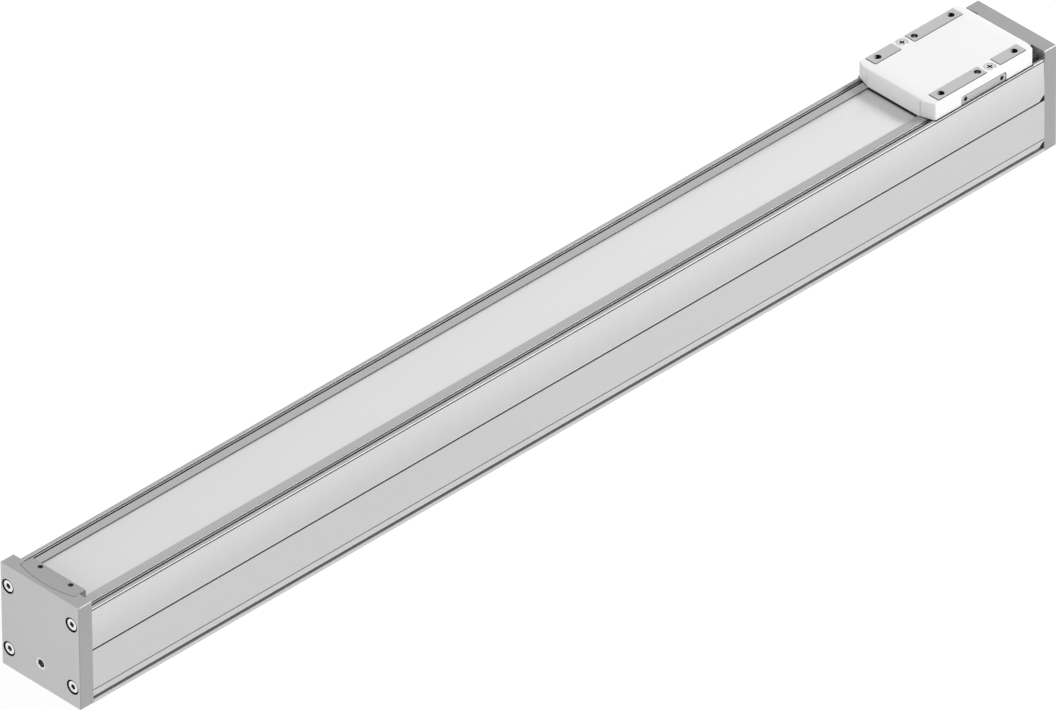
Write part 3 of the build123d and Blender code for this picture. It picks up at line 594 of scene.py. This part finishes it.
def prism(bm, sides, radius, low, high, topRadius=None):   # a cutter, wider at the top if asked
    bmesh.ops.create_cone(
        bm, cap_ends=True, segments=sides, radius1=radius, radius2=topRadius or radius, depth=high - low,
        matrix=Matrix.Translation((0, 0, (low + high) / 2)),
    )


def looseObject(bm, name):
    mesh = bpy.data.meshes.new(name)
    bm.to_mesh(mesh)
    bm.free()
    made = bpy.data.objects.new(name, mesh)
    bpy.context.scene.collection.objects.link(made)
    return made


def carve(bm, cutters, operation="DIFFERENCE"):   # takes each cutter out of the shape, or adds it
    body = looseObject(bm, "blank")
    tools = [looseObject(cutter, "cutter") for cutter in cutters]
    for tool in tools:
        cut = body.modifiers.new("cut", "BOOLEAN")
        cut.operation = operation
        cut.solver = "EXACT"
        cut.object = tool
    bpy.context.view_layer.update()
    seen = body.evaluated_get(bpy.context.evaluated_depsgraph_get())
    carved = bmesh.new()
    carved.from_mesh(bpy.data.meshes.new_from_object(seen))
    for made in [body] + tools:
        bpy.data.objects.remove(made)
    return carved


def repeat(bm, places):   # the same shape at several places, as one mesh
    master = bpy.data.meshes.new("master")
    bm.to_mesh(master)
    bm.free()
    together = bmesh.new()
    for place in places:
        before = len(together.verts)
        together.from_mesh(master)
        together.verts.ensure_lookup_table()
        bmesh.ops.transform(together, matrix=place, verts=together.verts[before:])
    return together


def finishPiece(bm, name, body, slotName, replaced=(), sharp=35.0):
    for edge in bm.edges:
        edge.smooth = len(edge.link_faces) == 2 and edge.calc_face_angle(0.0) < math.radians(sharp)
    for face in bm.faces:
        face.smooth = True
    piece = looseObject(bm, name)
    piece.data.materials.append(finishes[slotName])
    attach(piece, body)
    if replaced:
        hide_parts(*replaced)
    return piece


def facing(x, y, z, direction):   # a place whose own Z points along direction
    return Matrix.Translation((x, y, z)) @ Vector(direction).to_track_quat("Z", "Y").to_matrix().to_4x4()


# cap screws: heads with a hexagon socket, down in the caps' counterbores

capScrew = dict(
    inMm(headRadius=3.5, headHeight=4, shankRadius=2, edge=0.35, key=3, keyDepth=2, dish=1.75),
    steps=48, bevelShare=0.3,
)
keySocket = dict(
    inMm(dimpleTip=0.02, dimpleRise=0.01, dishRise=0.1),
    dimpleDepth=0.25, dimpleSteps=24, dishFoot=0.42, dishSteps=32,
)


def socketCutters(look, top):   # the key's hexagon, its dimple and the dish round its mouth
    key, mouth, floor = look["key"], look["dish"], top - look["keyDepth"]
    foot, rise = key * keySocket["dishFoot"], keySocket["dishRise"]
    hexagon, dimple, dish = bmesh.new(), bmesh.new(), bmesh.new()
    prism(hexagon, 6, key / math.sqrt(3), floor, top + look["keyDepth"])
    dimpleLow, dimpleHigh = floor - keySocket["dimpleDepth"] * key, floor + keySocket["dimpleRise"]
    prism(dimple, keySocket["dimpleSteps"], keySocket["dimpleTip"], dimpleLow, dimpleHigh, key / 2)
    prism(dish, keySocket["dishSteps"], foot, top - (mouth - foot), top + rise, mouth + rise)
    return [hexagon, dimple, dish]


def makeCapScrew(look, length):
    radius, top, edge = look["headRadius"], look["headHeight"], look["edge"]
    bevel = edge * look["bevelShare"]
    outline = [
        (0, top), (radius - edge, top), (radius - bevel, top - bevel), (radius, top - edge),
        (radius, edge / 2), (radius - edge / 2, 0), (look["shankRadius"], 0),
        (look["shankRadius"], -length + edge), (look["shankRadius"] - edge, -length), (0, -length),
    ]
    return carve(lathe(outline, look["steps"]), socketCutters(look, top))


for end, direction in (("near", -1), ("far", 1)):
    low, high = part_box(end + "_cap_screws")
    faceX = low.x if direction < 0 else high.x
    seatX = faceX - direction * capScrew["headHeight"]
    length = abs((low.x if direction > 0 else high.x) - seatX)
    inset = capScrew["headRadius"]
    corners = [(y, z) for y in (low.y + inset, high.y - inset) for z in (low.z + inset, high.z - inset)]
    places = [facing(seatX, y, z, (direction, 0, 0)) for y, z in corners]
    screws = repeat(makeCapScrew(capScrew, length), places)
    finishPiece(screws, end + "CapScrews", "axis_frame", "cap_screw_steel", [end + "_cap_screws"])
print("cap screws")


# plugs in the caps' ports, and the set screws that press on the strip's ends

portPlug = dict(inMm(radius=3.1, length=8.4, key=4.4, keyDepth=2.2, edge=0.2, dish=2.65), steps=48)
setScrew = dict(inMm(radius=1.5, key=1.5, keyDepth=1.5, edge=0.25, dish=1.0), steps=32)


def makeHeadless(look, length):   # its top at the origin, its tip below
    radius, edge = look["radius"], look["edge"]
    outline = [
        (0, 0), (radius - edge, 0), (radius, -edge),
        (radius, -length + edge), (radius - edge, -length), (0, -length),
    ]
    return carve(lathe(outline, look["steps"]), socketCutters(look, 0))


low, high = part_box("port_plugs")
plugY, plugZ = (low.y + high.y) / 2, (low.z + high.z) / 2
places = [facing(high.x, plugY, plugZ, (1, 0, 0)), facing(low.x, plugY, plugZ, (-1, 0, 0))]
plugs = repeat(makeHeadless(portPlug, portPlug["length"]), places)
finishPiece(plugs, "portPlugs", "axis_frame", "cap_screw_steel", ["port_plugs"])

low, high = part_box("clamp_set_screws")
inset = setScrew["radius"]
corners = [(x, y) for x in (low.x + inset, high.x - inset) for y in (low.y + inset, high.y - inset)]
places = [facing(x, y, high.z, (0, 0, 1)) for x, y in corners]
screws = repeat(makeHeadless(setScrew, high.z - low.z), places)
finishPiece(screws, "clampSetScrews", "axis_frame", "set_screw_steel", ["clamp_set_screws"])
print("plugs and set screws")


# cover screws: low heads with a cross recess

coverScrew = dict(
    inMm(
        headRadius=3.4, headHeight=1.1, shankRadius=1.5, edge=0.3, flatDrop=0.02, edgeDrop=0.08,
        crossLength=4.1, crossWidth=1.15, crossDepth=0.95,
    ),
    steps=48, flatShare=0.6, crossTaper=0.75,
)


def makeCoverScrew(look, length):
    radius, top, edge, drop = look["headRadius"], look["headHeight"], look["edge"], look["edgeDrop"]
    outline = [
        (0, top), (radius * look["flatShare"], top - look["flatDrop"]), (radius - edge, top - drop),
        (radius, top - edge - drop), (radius, 0),
        (look["shankRadius"], 0), (look["shankRadius"], -length), (0, -length),
    ]
    arms = []
    for turn in (0, math.pi / 2):
        arm = bmesh.new()
        made = bmesh.ops.create_cube(arm, size=1.0)["verts"]
        size, taper = (look["crossLength"], look["crossWidth"], 2 * look["crossDepth"]), look["crossTaper"]
        bmesh.ops.scale(arm, vec=size, verts=made)
        bmesh.ops.scale(arm, vec=(taper, taper, 1.0), verts=[vert for vert in made if vert.co.z < 0])
        bmesh.ops.rotate(arm, cent=(0, 0, 0), matrix=Matrix.Rotation(turn, 3, "Z"), verts=made)
        bmesh.ops.translate(arm, vec=(0, 0, top), verts=made)
        arms.append(arm)
    return carve(lathe(outline, look["steps"]), arms)


low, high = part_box("cover_screws")
inset = coverScrew["headRadius"]
seatZ = high.z - coverScrew["headHeight"]
places = [
    Matrix.Translation((high.x - inset, low.y + inset, seatZ)),
    Matrix.Translation((low.x + inset, high.y - inset, seatZ)),
]
screws = repeat(makeCoverScrew(coverScrew, seatZ - low.z), places)
finishPiece(screws, "coverScrews", "slide", "cover_screw_steel", ["cover_screws"])
print("cover screws")


# the hood over the slide: a rounded nose that stands proud of the angled corners, with a thin seam beside it

hood = dict(
    inMm(
        longer=0.3, wider=0.25, noseHalf=20.05, cornerRun=3.2, setBack=0.55, seamWidth=0.4, seamDepth=1.0,
        cornerRadius=1.2, noseRadius=0.9, leastRadius=0.3, wall=0.9, roof=2.1, edge=0.7, rollOff=2.2,
        crownRun=10, crownDrop=0.8, past=5, overlap=0.5, lipInset=0.03, lipDrop=0.25, noseLipHalf=18.4,
        noseLipGap=0.1, noseLipReach=0.8, noseLipHeight=0.55, skirtReach=0.85, skirtGap=0.07,
        skirtDrop=0.08, skirtWall=0.6, skirtInset=0.1, gap=0.25, padOuter=33.4, padInner=3.4,
        shortPadInner=13.7, padWidth=7.6, padCorner=0.5, screwGap=0.03, shankGap=0.2, ribHalf=10, ribY=8,
        ribThickness=1.2, ribRise=5,
    ),
    crownSteps=10, arcSteps=10, windowSteps=6, panelSteps=8,
)


def roundedOutline(corners, steps):   # corners are (x, y, radius), and each round one becomes an arc
    spots = [Vector((x, y, 0.0)) for x, y, radius in corners]
    outline = []
    for i, (x, y, radius) in enumerate(corners):
        here = spots[i]
        back, ahead = ((spot - here).normalized() for spot in (spots[i - 1], spots[(i + 1) % len(spots)]))
        if not radius:
            outline.append(here)
            continue
        half = back.angle(ahead) / 2
        middle = here + (back + ahead).normalized() * radius / math.sin(half)
        start, end = (here + way * radius / math.tan(half) - middle for way in (back, ahead))
        outline += [middle + radius * start.slerp(end, step / steps) for step in range(steps + 1)]
    return outline


def plate(outline, low, high):   # an outline in X and Y, raised from low to high
    bm = bmesh.new()
    face = bm.faces.new([bm.verts.new((spot[0], spot[1], low)) for spot in outline])
    made = bmesh.ops.extrude_face_region(bm, geom=[face])["geom"]
    raised = [item for item in made if isinstance(item, bmesh.types.BMVert)]
    bmesh.ops.translate(bm, vec=(0, 0, high - low), verts=raised)
    bmesh.ops.recalc_face_normals(bm, faces=bm.faces)
    return bm


def turned(bm, rows):   # sets the shape's own X, Y and Z along other axes
    bmesh.ops.transform(bm, matrix=Matrix(rows).to_4x4(), verts=bm.verts)
    bmesh.ops.recalc_face_normals(bm, faces=bm.faces)
    return bm


alongY = ((1, 0, 0), (0, 0, 1), (0, 1, 0))    # drawn in X and Z
alongX = ((0, 0, 1), (1, 0, 0), (0, 1, 0))    # drawn in Y and Z
halfTurn = ((-1, 0, 0), (0, -1, 0), (0, 0, 1))


def mirrored(quarter):   # a whole outline from its front left quarter
    right = quarter + [(x, -y, radius) for x, y, radius in reversed(quarter)]
    return right + [(-x, y, radius) for x, y, radius in reversed(right)]


def hoodOutline(length, width, inset=0.0):
    nose, half = length / 2 - inset, width / 2 - inset
    radii = [max(hood[name] - inset, hood["leastRadius"]) for name in ("cornerRadius", "noseRadius")]
    quarter = [
        (nose - hood["cornerRun"], half, radii[0]),
        (nose - hood["setBack"], hood["noseHalf"] + hood["seamWidth"], 0.0),
    ]
    if not inset:
        quarter.append((nose - hood["seamDepth"], hood["noseHalf"], 0.0))
    quarter.append((nose, hood["noseHalf"] - inset, radii[1]))
    return roundedOutline(mirrored(quarter), hood["arcSteps"])


def roofCutter(length, top):   # all that lies above the crown and the noses' roll-off
    half, roll, run, steps = length / 2, hood["rollOff"], hood["crownRun"], hood["crownSteps"]
    spots = [(half - run + (run - roll) * step / steps, 0.0) for step in range(steps + 1)]
    for step in range(1, hood["arcSteps"] + 1):
        turn = math.pi / 2 * step / hood["arcSteps"]
        spots.append((half - roll + roll * math.sin(turn), roll * (1 - math.cos(turn))))
    line = [(x, top - hood["crownDrop"] * ((x - half + run) / run) ** 2 - fall) for x, fall in spots]
    past = half + hood["past"]
    line += [(past, line[-1][1]), (past, top + hood["past"])]
    return turned(plate(line + [(-x, z) for x, z in reversed(line)], -half, half), alongY)


def rimCutter(width, top, length):   # rounds the roof's long edge on one side
    half, edge, past = width / 2, hood["edge"], hood["past"]
    turns = [math.pi / 2 * step / hood["arcSteps"] for step in range(hood["arcSteps"] + 1)]
    line = [(half - edge + edge * math.sin(turn), top - edge + edge * math.cos(turn)) for turn in turns]
    line += [(half + past, top - edge), (half + past, top + past), (half - edge, top + past)]
    return turned(plate(line, -length, length), alongX)


def rectangle(lowX, highX, lowY, highY, radius=0.0):
    corners = ((lowX, lowY), (highX, lowY), (highX, highY), (lowX, highY))
    return roundedOutline([(x, y, radius) for x, y in corners], hood["windowSteps"])


def hoodWindows(bottom, top):   # for the pads, the flank panels and the screws
    cutters = []
    gap, past = hood["gap"], hood["past"]
    padY = mounts["slide_threads"]["dims"]["spacing_y_mm"] * mm / 2
    padHalf = hood["padWidth"] / 2 + gap
    runs = ((-hood["padOuter"], hood["padInner"]), (hood["shortPadInner"], hood["padOuter"]))
    for side in (1, -1):
        lowY, highY = -side * padY - padHalf, -side * padY + padHalf
        for ends in runs:
            low, high = sorted(side * x for x in ends)
            window = rectangle(low - gap, high + gap, lowY, highY, hood["padCorner"] + gap)
            cutters.append(plate(window, bottom, top + past))
    reach, corner = slideShade["panelHalf"] + gap, slideShade["panelCorner"]
    foot, crest = bottom - past, bottom + slideShade["panelHeight"] + gap
    corners = [(-reach, foot, 0.0), (reach, foot, 0.0), (reach, crest, corner), (-reach, crest, corner)]
    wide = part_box("slide_cover")[1].y + past
    cutters.append(turned(plate(roundedOutline(corners, hood["panelSteps"]), -wide, wide), alongY))
    low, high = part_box("cover_screws")
    inset = coverScrew["headRadius"]
    bores = (
        (coverScrew["shankRadius"] + hood["shankGap"], bottom),
        (inset + hood["screwGap"], high.z - coverScrew["headHeight"]),
    )
    for x, y in ((high.x - slideX - inset, low.y + inset), (low.x - slideX + inset, high.y - inset)):
        for radius, floor in bores:
            cutter = bmesh.new()
            prism(cutter, coverScrew["steps"], radius, floor, top + past)
            bmesh.ops.translate(cutter, vec=(x, y, 0), verts=cutter.verts)
            cutters.append(cutter)
    return cutters


def shadeSkirt(length, width, low, high):   # painted shade: a ring under the hood's edge, black by the hood's painted shade below the rim, standing in the shaded gap between hood and profile
    rings = []
    for grow in (hood["skirtReach"], -hood["skirtWall"]):
        nose, half = length / 2 + min(grow, 0.0), width / 2 + grow
        quarter = [(nose - hood["cornerRun"], half, 0.0), (nose, hood["noseHalf"] + min(grow, 0.0), 0.0)]
        rings.append(roundedOutline(mirrored(quarter), 1))
    return carve(plate(rings[0], low, high), [plate(rings[1], low - hood["overlap"], high + hood["overlap"])])


def slideHood():
    low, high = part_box("slide_cover")
    length, width = high.x - low.x + 2 * hood["longer"], high.y - low.y + 2 * hood["wider"]
    rim, ceiling, overlap = low.z + slideShade["shadowGap"], high.z - hood["roof"], hood["overlap"]
    shell = plate(hoodOutline(length, width), rim, high.z + overlap)
    # painted shade: the lip under the rim and the plates under the noses hang below the rim, so they take the
    # black there and stand in the shaded gap under the hood
    lip = plate(hoodOutline(length, width, hood["lipInset"]), low.z - hood["lipDrop"], rim + overlap)
    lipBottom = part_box("cover_strip")[0].z + stripThickness + hood["noseLipGap"]
    lips = [lip]
    for past, lipTop in ((-hood["lipInset"], rim), (hood["noseLipReach"], lipBottom + hood["noseLipHeight"])):
        outline = rectangle(-length / 2 - past, length / 2 + past, -hood["noseLipHalf"], hood["noseLipHalf"])
        lips.append(plate(outline, lipBottom, lipTop))
    shell = carve(shell, lips, "UNION")
    hollow = plate(hoodOutline(length, width, hood["wall"]), low.z - hood["past"], ceiling)
    rims = [rimCutter(width, high.z, length), turned(rimCutter(width, high.z, length), halfTurn)]
    shell = carve(shell, [roofCutter(length, high.z)] + rims + [hollow])
    ribs = []
    for side in (-1, 1):
        middle, half = side * hood["ribY"], hood["ribThickness"] / 2
        rib = rectangle(-hood["ribHalf"], hood["ribHalf"], middle - half, middle + half)
        ribs.append(plate(rib, low.z + hood["ribRise"], ceiling + overlap))
    shell = carve(carve(shell, ribs, "UNION"), hoodWindows(low.z, high.z))
    # painted shade: the ring sits below the hood's rim, so it takes the black there
    shadeSkirtLow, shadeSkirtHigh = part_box("profile")[1].z + hood["skirtGap"], low.z - hood["skirtDrop"]
    shell = carve(shell, [shadeSkirt(length - hood["skirtInset"], width, shadeSkirtLow, shadeSkirtHigh)], "UNION")
    bmesh.ops.translate(shell, vec=(slideX, 0, 0), verts=shell.verts)
    bmesh.ops.remove_doubles(shell, verts=shell.verts, dist=2 * mergeDistance)
    return shell


piece = finishPiece(slideHood(), "slideHood", "slide", "cover_plastic", ["slide_cover"])
weigh = piece.modifiers.new("weigh", "WEIGHTED_NORMAL")
weigh.keep_sharp = True
print("hood:", len(piece.data.polygons), "faces")


# thread turns in the slide's mounting holes

mountThread = dict(inMm(pitch=0.8, height=0.32, start=0.5), foot=0.42, turns=9, steps=32)
lugThread = dict(inMm(pitch=0.4, height=0.13, start=0.3), foot=0.42, turns=10, steps=20)


def makeThread(look, radius):   # a ridge that winds down the hole's wall from its mouth
    bm = bmesh.new()
    half = look["pitch"] * look["foot"]
    z = -look["start"]
    ridge = [
        bm.verts.new((radius, 0, z + half)), bm.verts.new((radius - look["height"], 0, z)),
        bm.verts.new((radius, 0, z - half)),
    ]
    edges = [bm.edges.new(pair) for pair in zip(ridge, ridge[1:])]
    bmesh.ops.spin(
        bm, geom=ridge + edges, cent=(0, 0, 0), axis=(0, 0, 1), angle=fullTurn * look["turns"],
        dvec=(0, 0, -look["pitch"] / look["steps"]), steps=look["steps"] * look["turns"], use_merge=False,
    )
    bmesh.ops.recalc_face_normals(bm, faces=bm.faces)
    return bm


def patternPlaces(mount):   # the holes of a mount's pattern, facing along its axis
    middle, axis, dims = Vector(mount["pos_m"]), Vector(mount["axis"]), mount["dims"]
    halfX, halfY = dims["spacing_x_mm"] * mm / 2, dims.get("spacing_y_mm", 0) * mm / 2
    signs = [(i, j) for i in (-1, 1) for j in ((-1, 1) if halfY else (0,))]
    return [facing(middle.x + i * halfX, middle.y + j * halfY, middle.z, axis) for i, j in signs]


for name, look, mountName in (
    ("mountThreads", mountThread, "slide_threads"), ("rightLugThreads", lugThread, "right_flank_threads"),
    ("leftLugThreads", lugThread, "left_flank_threads"),
):
    mount = mounts[mountName]
    threads = repeat(makeThread(look, mount["dims"]["hole_r_mm"] * mm), patternPlaces(mount))
    finishPiece(threads, name, "slide", "slide_aluminium", sharp=30.0)
print("threads")


# the cover strip: flat from cap to cap, and a hump that travels with the slide

strip = dict(inMm(topHalf=12, footHalf=36, rise=5.4, edge=0.05), humpSteps=96)


def flatStrip():
    low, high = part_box("cover_strip")
    bm = bmesh.new()
    made = bmesh.ops.create_cube(bm, size=1.0)["verts"]
    bmesh.ops.scale(bm, vec=(high.x - low.x, high.y - low.y, stripThickness), verts=made)
    middle = ((low.x + high.x) / 2, (low.y + high.y) / 2, low.z + stripThickness / 2)
    bmesh.ops.translate(bm, vec=middle, verts=made)
    bmesh.ops.bevel(
        bm, geom=bm.edges, offset=strip["edge"], offset_type="OFFSET", affect="EDGES", segments=2,
        profile=0.5, material=-1,
    )
    return bm


def humpHeight(distance):   # two arcs of one radius make each ramp
    run = (strip["footHalf"] - strip["topHalf"]) / 2
    half = strip["rise"] / 2
    radius = (run ** 2 + half ** 2) / strip["rise"]
    if distance <= strip["topHalf"]:
        return strip["rise"]
    if distance <= strip["topHalf"] + run:
        return strip["rise"] - radius + math.sqrt(radius ** 2 - (distance - strip["topHalf"]) ** 2)
    if distance <= strip["footHalf"]:
        return radius - math.sqrt(radius ** 2 - (strip["footHalf"] - distance) ** 2)
    return 0.0


def stripHump():
    low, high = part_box("cover_strip")
    bm = bmesh.new()
    bmesh.ops.create_grid(bm, x_segments=strip["humpSteps"], y_segments=2, size=0.5)
    bmesh.ops.scale(bm, vec=(2 * strip["footHalf"], high.y - low.y, 1.0), verts=bm.verts)
    for vert in bm.verts:
        vert.co.z = low.z + humpHeight(abs(vert.co.x))
    bmesh.ops.translate(bm, vec=(slideX, 0, 0), verts=bm.verts)
    bmesh.ops.solidify(bm, geom=bm.faces, thickness=-stripThickness)
    return bm


finishPiece(flatStrip(), "coverStrip", "axis_frame", "strip_steel", ["cover_strip"])
finishPiece(stripHump(), "coverStripHump", "slide", "strip_steel")
print("cover strip")


# the balls that carry the runner block on the rail

balls = dict(inMm(radius=2, pitch=4.3, rowHeight=9, rowSpread=0.3), perRow=9)


def ballRows():
    rail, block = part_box("guide_rail"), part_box("runner_block")
    bm = bmesh.new()
    bmesh.ops.create_icosphere(bm, subdivisions=3, radius=balls["radius"])
    first = (block[0].x + block[1].x) / 2 - (balls["perRow"] - 1) * balls["pitch"] / 2
    rows = (rail[0].y - balls["rowSpread"], rail[1].y + balls["rowSpread"])
    z = rail[0].z + balls["rowHeight"]
    spots = [(first + i * balls["pitch"], y, z) for i in range(balls["perRow"]) for y in rows]
    return repeat(bm, [Matrix.Translation(spot) for spot in spots])


finishPiece(ballRows(), "runnerBalls", "slide", "guide_steel")
print("balls")


# studio: pale floor, white surroundings, one soft lamp from the right and above, a weak one from the near end

studio = dict(
    sky=0.55, skyInMetal=0.9, floorTone=0.85, floorInMetal=0.93, floorGlow=0.87, floorSeen=0.2,
    floorSize=20.0, floorDrop=0.1 * mm,
)
lamps = dict(
    lamp=dict(direction=(0.654, -0.495, 0.57), distance=8.0, power=450.0, size=2.0),
    fill=dict(direction=(-0.95, 0.0, 0.3), distance=8.0, power=80.0, size=3.0),
)


def makeWorld():
    world = bpy.data.worlds.new("studio")
    bpy.context.scene.world = world
    world.use_nodes = True
    tree = world.node_tree
    ray = addNode(tree, "ShaderNodeLightPath").outputs
    seen = addProduct(tree, ray["Is Camera Ray"], 1.0 - studio["sky"])
    inMetal = addProduct(tree, ray["Is Glossy Ray"], studio["skyInMetal"] - studio["sky"])
    level = addMath(tree, "ADD", addMath(tree, "ADD", seen, inMetal), studio["sky"])
    feed(tree, tree.nodes["Background"], {"Color": grey(1.0), "Strength": level})


def addShader(tree, kind, values):
    return addNode(tree, "ShaderNode" + kind, values).outputs[0]


def makeFloor():
    material = bpy.data.materials.new("floor")
    material.use_nodes = True
    tree = material.node_tree
    tree.nodes.remove(tree.nodes["Principled BSDF"])
    ray = addNode(tree, "ShaderNodeLightPath").outputs
    matt, seen = (
        addShader(tree, "BsdfDiffuse", {"Color": grey(studio[tone])}) for tone in ("floorTone", "floorSeen")
    )
    glow, forMetal = (
        addShader(tree, "Emission", {"Strength": studio[level]}) for level in ("floorGlow", "floorInMetal")
    )
    forCamera = addShader(tree, "AddShader", {0: seen, 1: glow})
    inMetal = addShader(tree, "MixShader", {0: ray["Is Glossy Ray"], 1: matt, 2: forMetal})
    surface = addShader(tree, "MixShader", {0: ray["Is Camera Ray"], 1: inMetal, 2: forCamera})
    feed(tree, tree.nodes["Material Output"], {"Surface": surface})
    bm = bmesh.new()
    bmesh.ops.create_grid(bm, x_segments=1, y_segments=1, size=studio["floorSize"] / 2)
    bmesh.ops.translate(bm, vec=(0, 0, cadBox[0].z - studio["floorDrop"]), verts=bm.verts)
    floor = looseObject(bm, "floor")
    floor.data.materials.append(material)


def makeLamp(name, look):
    light = bpy.data.lights.new(name, "AREA")
    light.energy = look["power"]
    light.size = look["size"]
    lamp = bpy.data.objects.new(name, light)
    direction = Vector(look["direction"]).normalized()
    lamp.location = direction * look["distance"]
    lamp.rotation_euler = direction.to_track_quat("Z", "Y").to_euler()
    bpy.context.scene.collection.objects.link(lamp)


camera = dict(
    azimuth=315.8573, elevation=35.6609, roll=-0.4858, distance=13.5448, lens=865.549, clipEnd=60.0,
    target=(0.0, 0.0, 0.033), toRight=-4.3873 * mm, toTop=-2.5929 * mm,
)


def makeCamera():
    turn, tilt, roll = (math.radians(camera[name]) for name in ("azimuth", "elevation", "roll"))
    back = Vector((math.sin(turn) * math.cos(tilt), -math.cos(turn) * math.cos(tilt), math.sin(tilt)))
    level = Vector((0, 0, 1)).cross(back).normalized()
    upright = back.cross(level)
    right = level * math.cos(roll) + upright * math.sin(roll)
    top = back.cross(right)
    data = bpy.data.cameras.new("camera")
    data.lens = camera["lens"]
    data.clip_end = camera["clipEnd"]
    made = bpy.data.objects.new("camera", data)
    aim = Vector(camera["target"]) + right * camera["toRight"] + top * camera["toTop"]
    spot = aim + back * camera["distance"]
    made.matrix_world = Matrix.Translation(spot) @ Matrix((right, top, back)).transposed().to_4x4()
    bpy.context.scene.collection.objects.link(made)
    bpy.context.scene.camera = made


makeWorld()
makeFloor()
for name, look in lamps.items():
    makeLamp(name, look)
makeCamera()
bpy.context.scene.view_settings.view_transform = "Standard"
print("studio and camera")
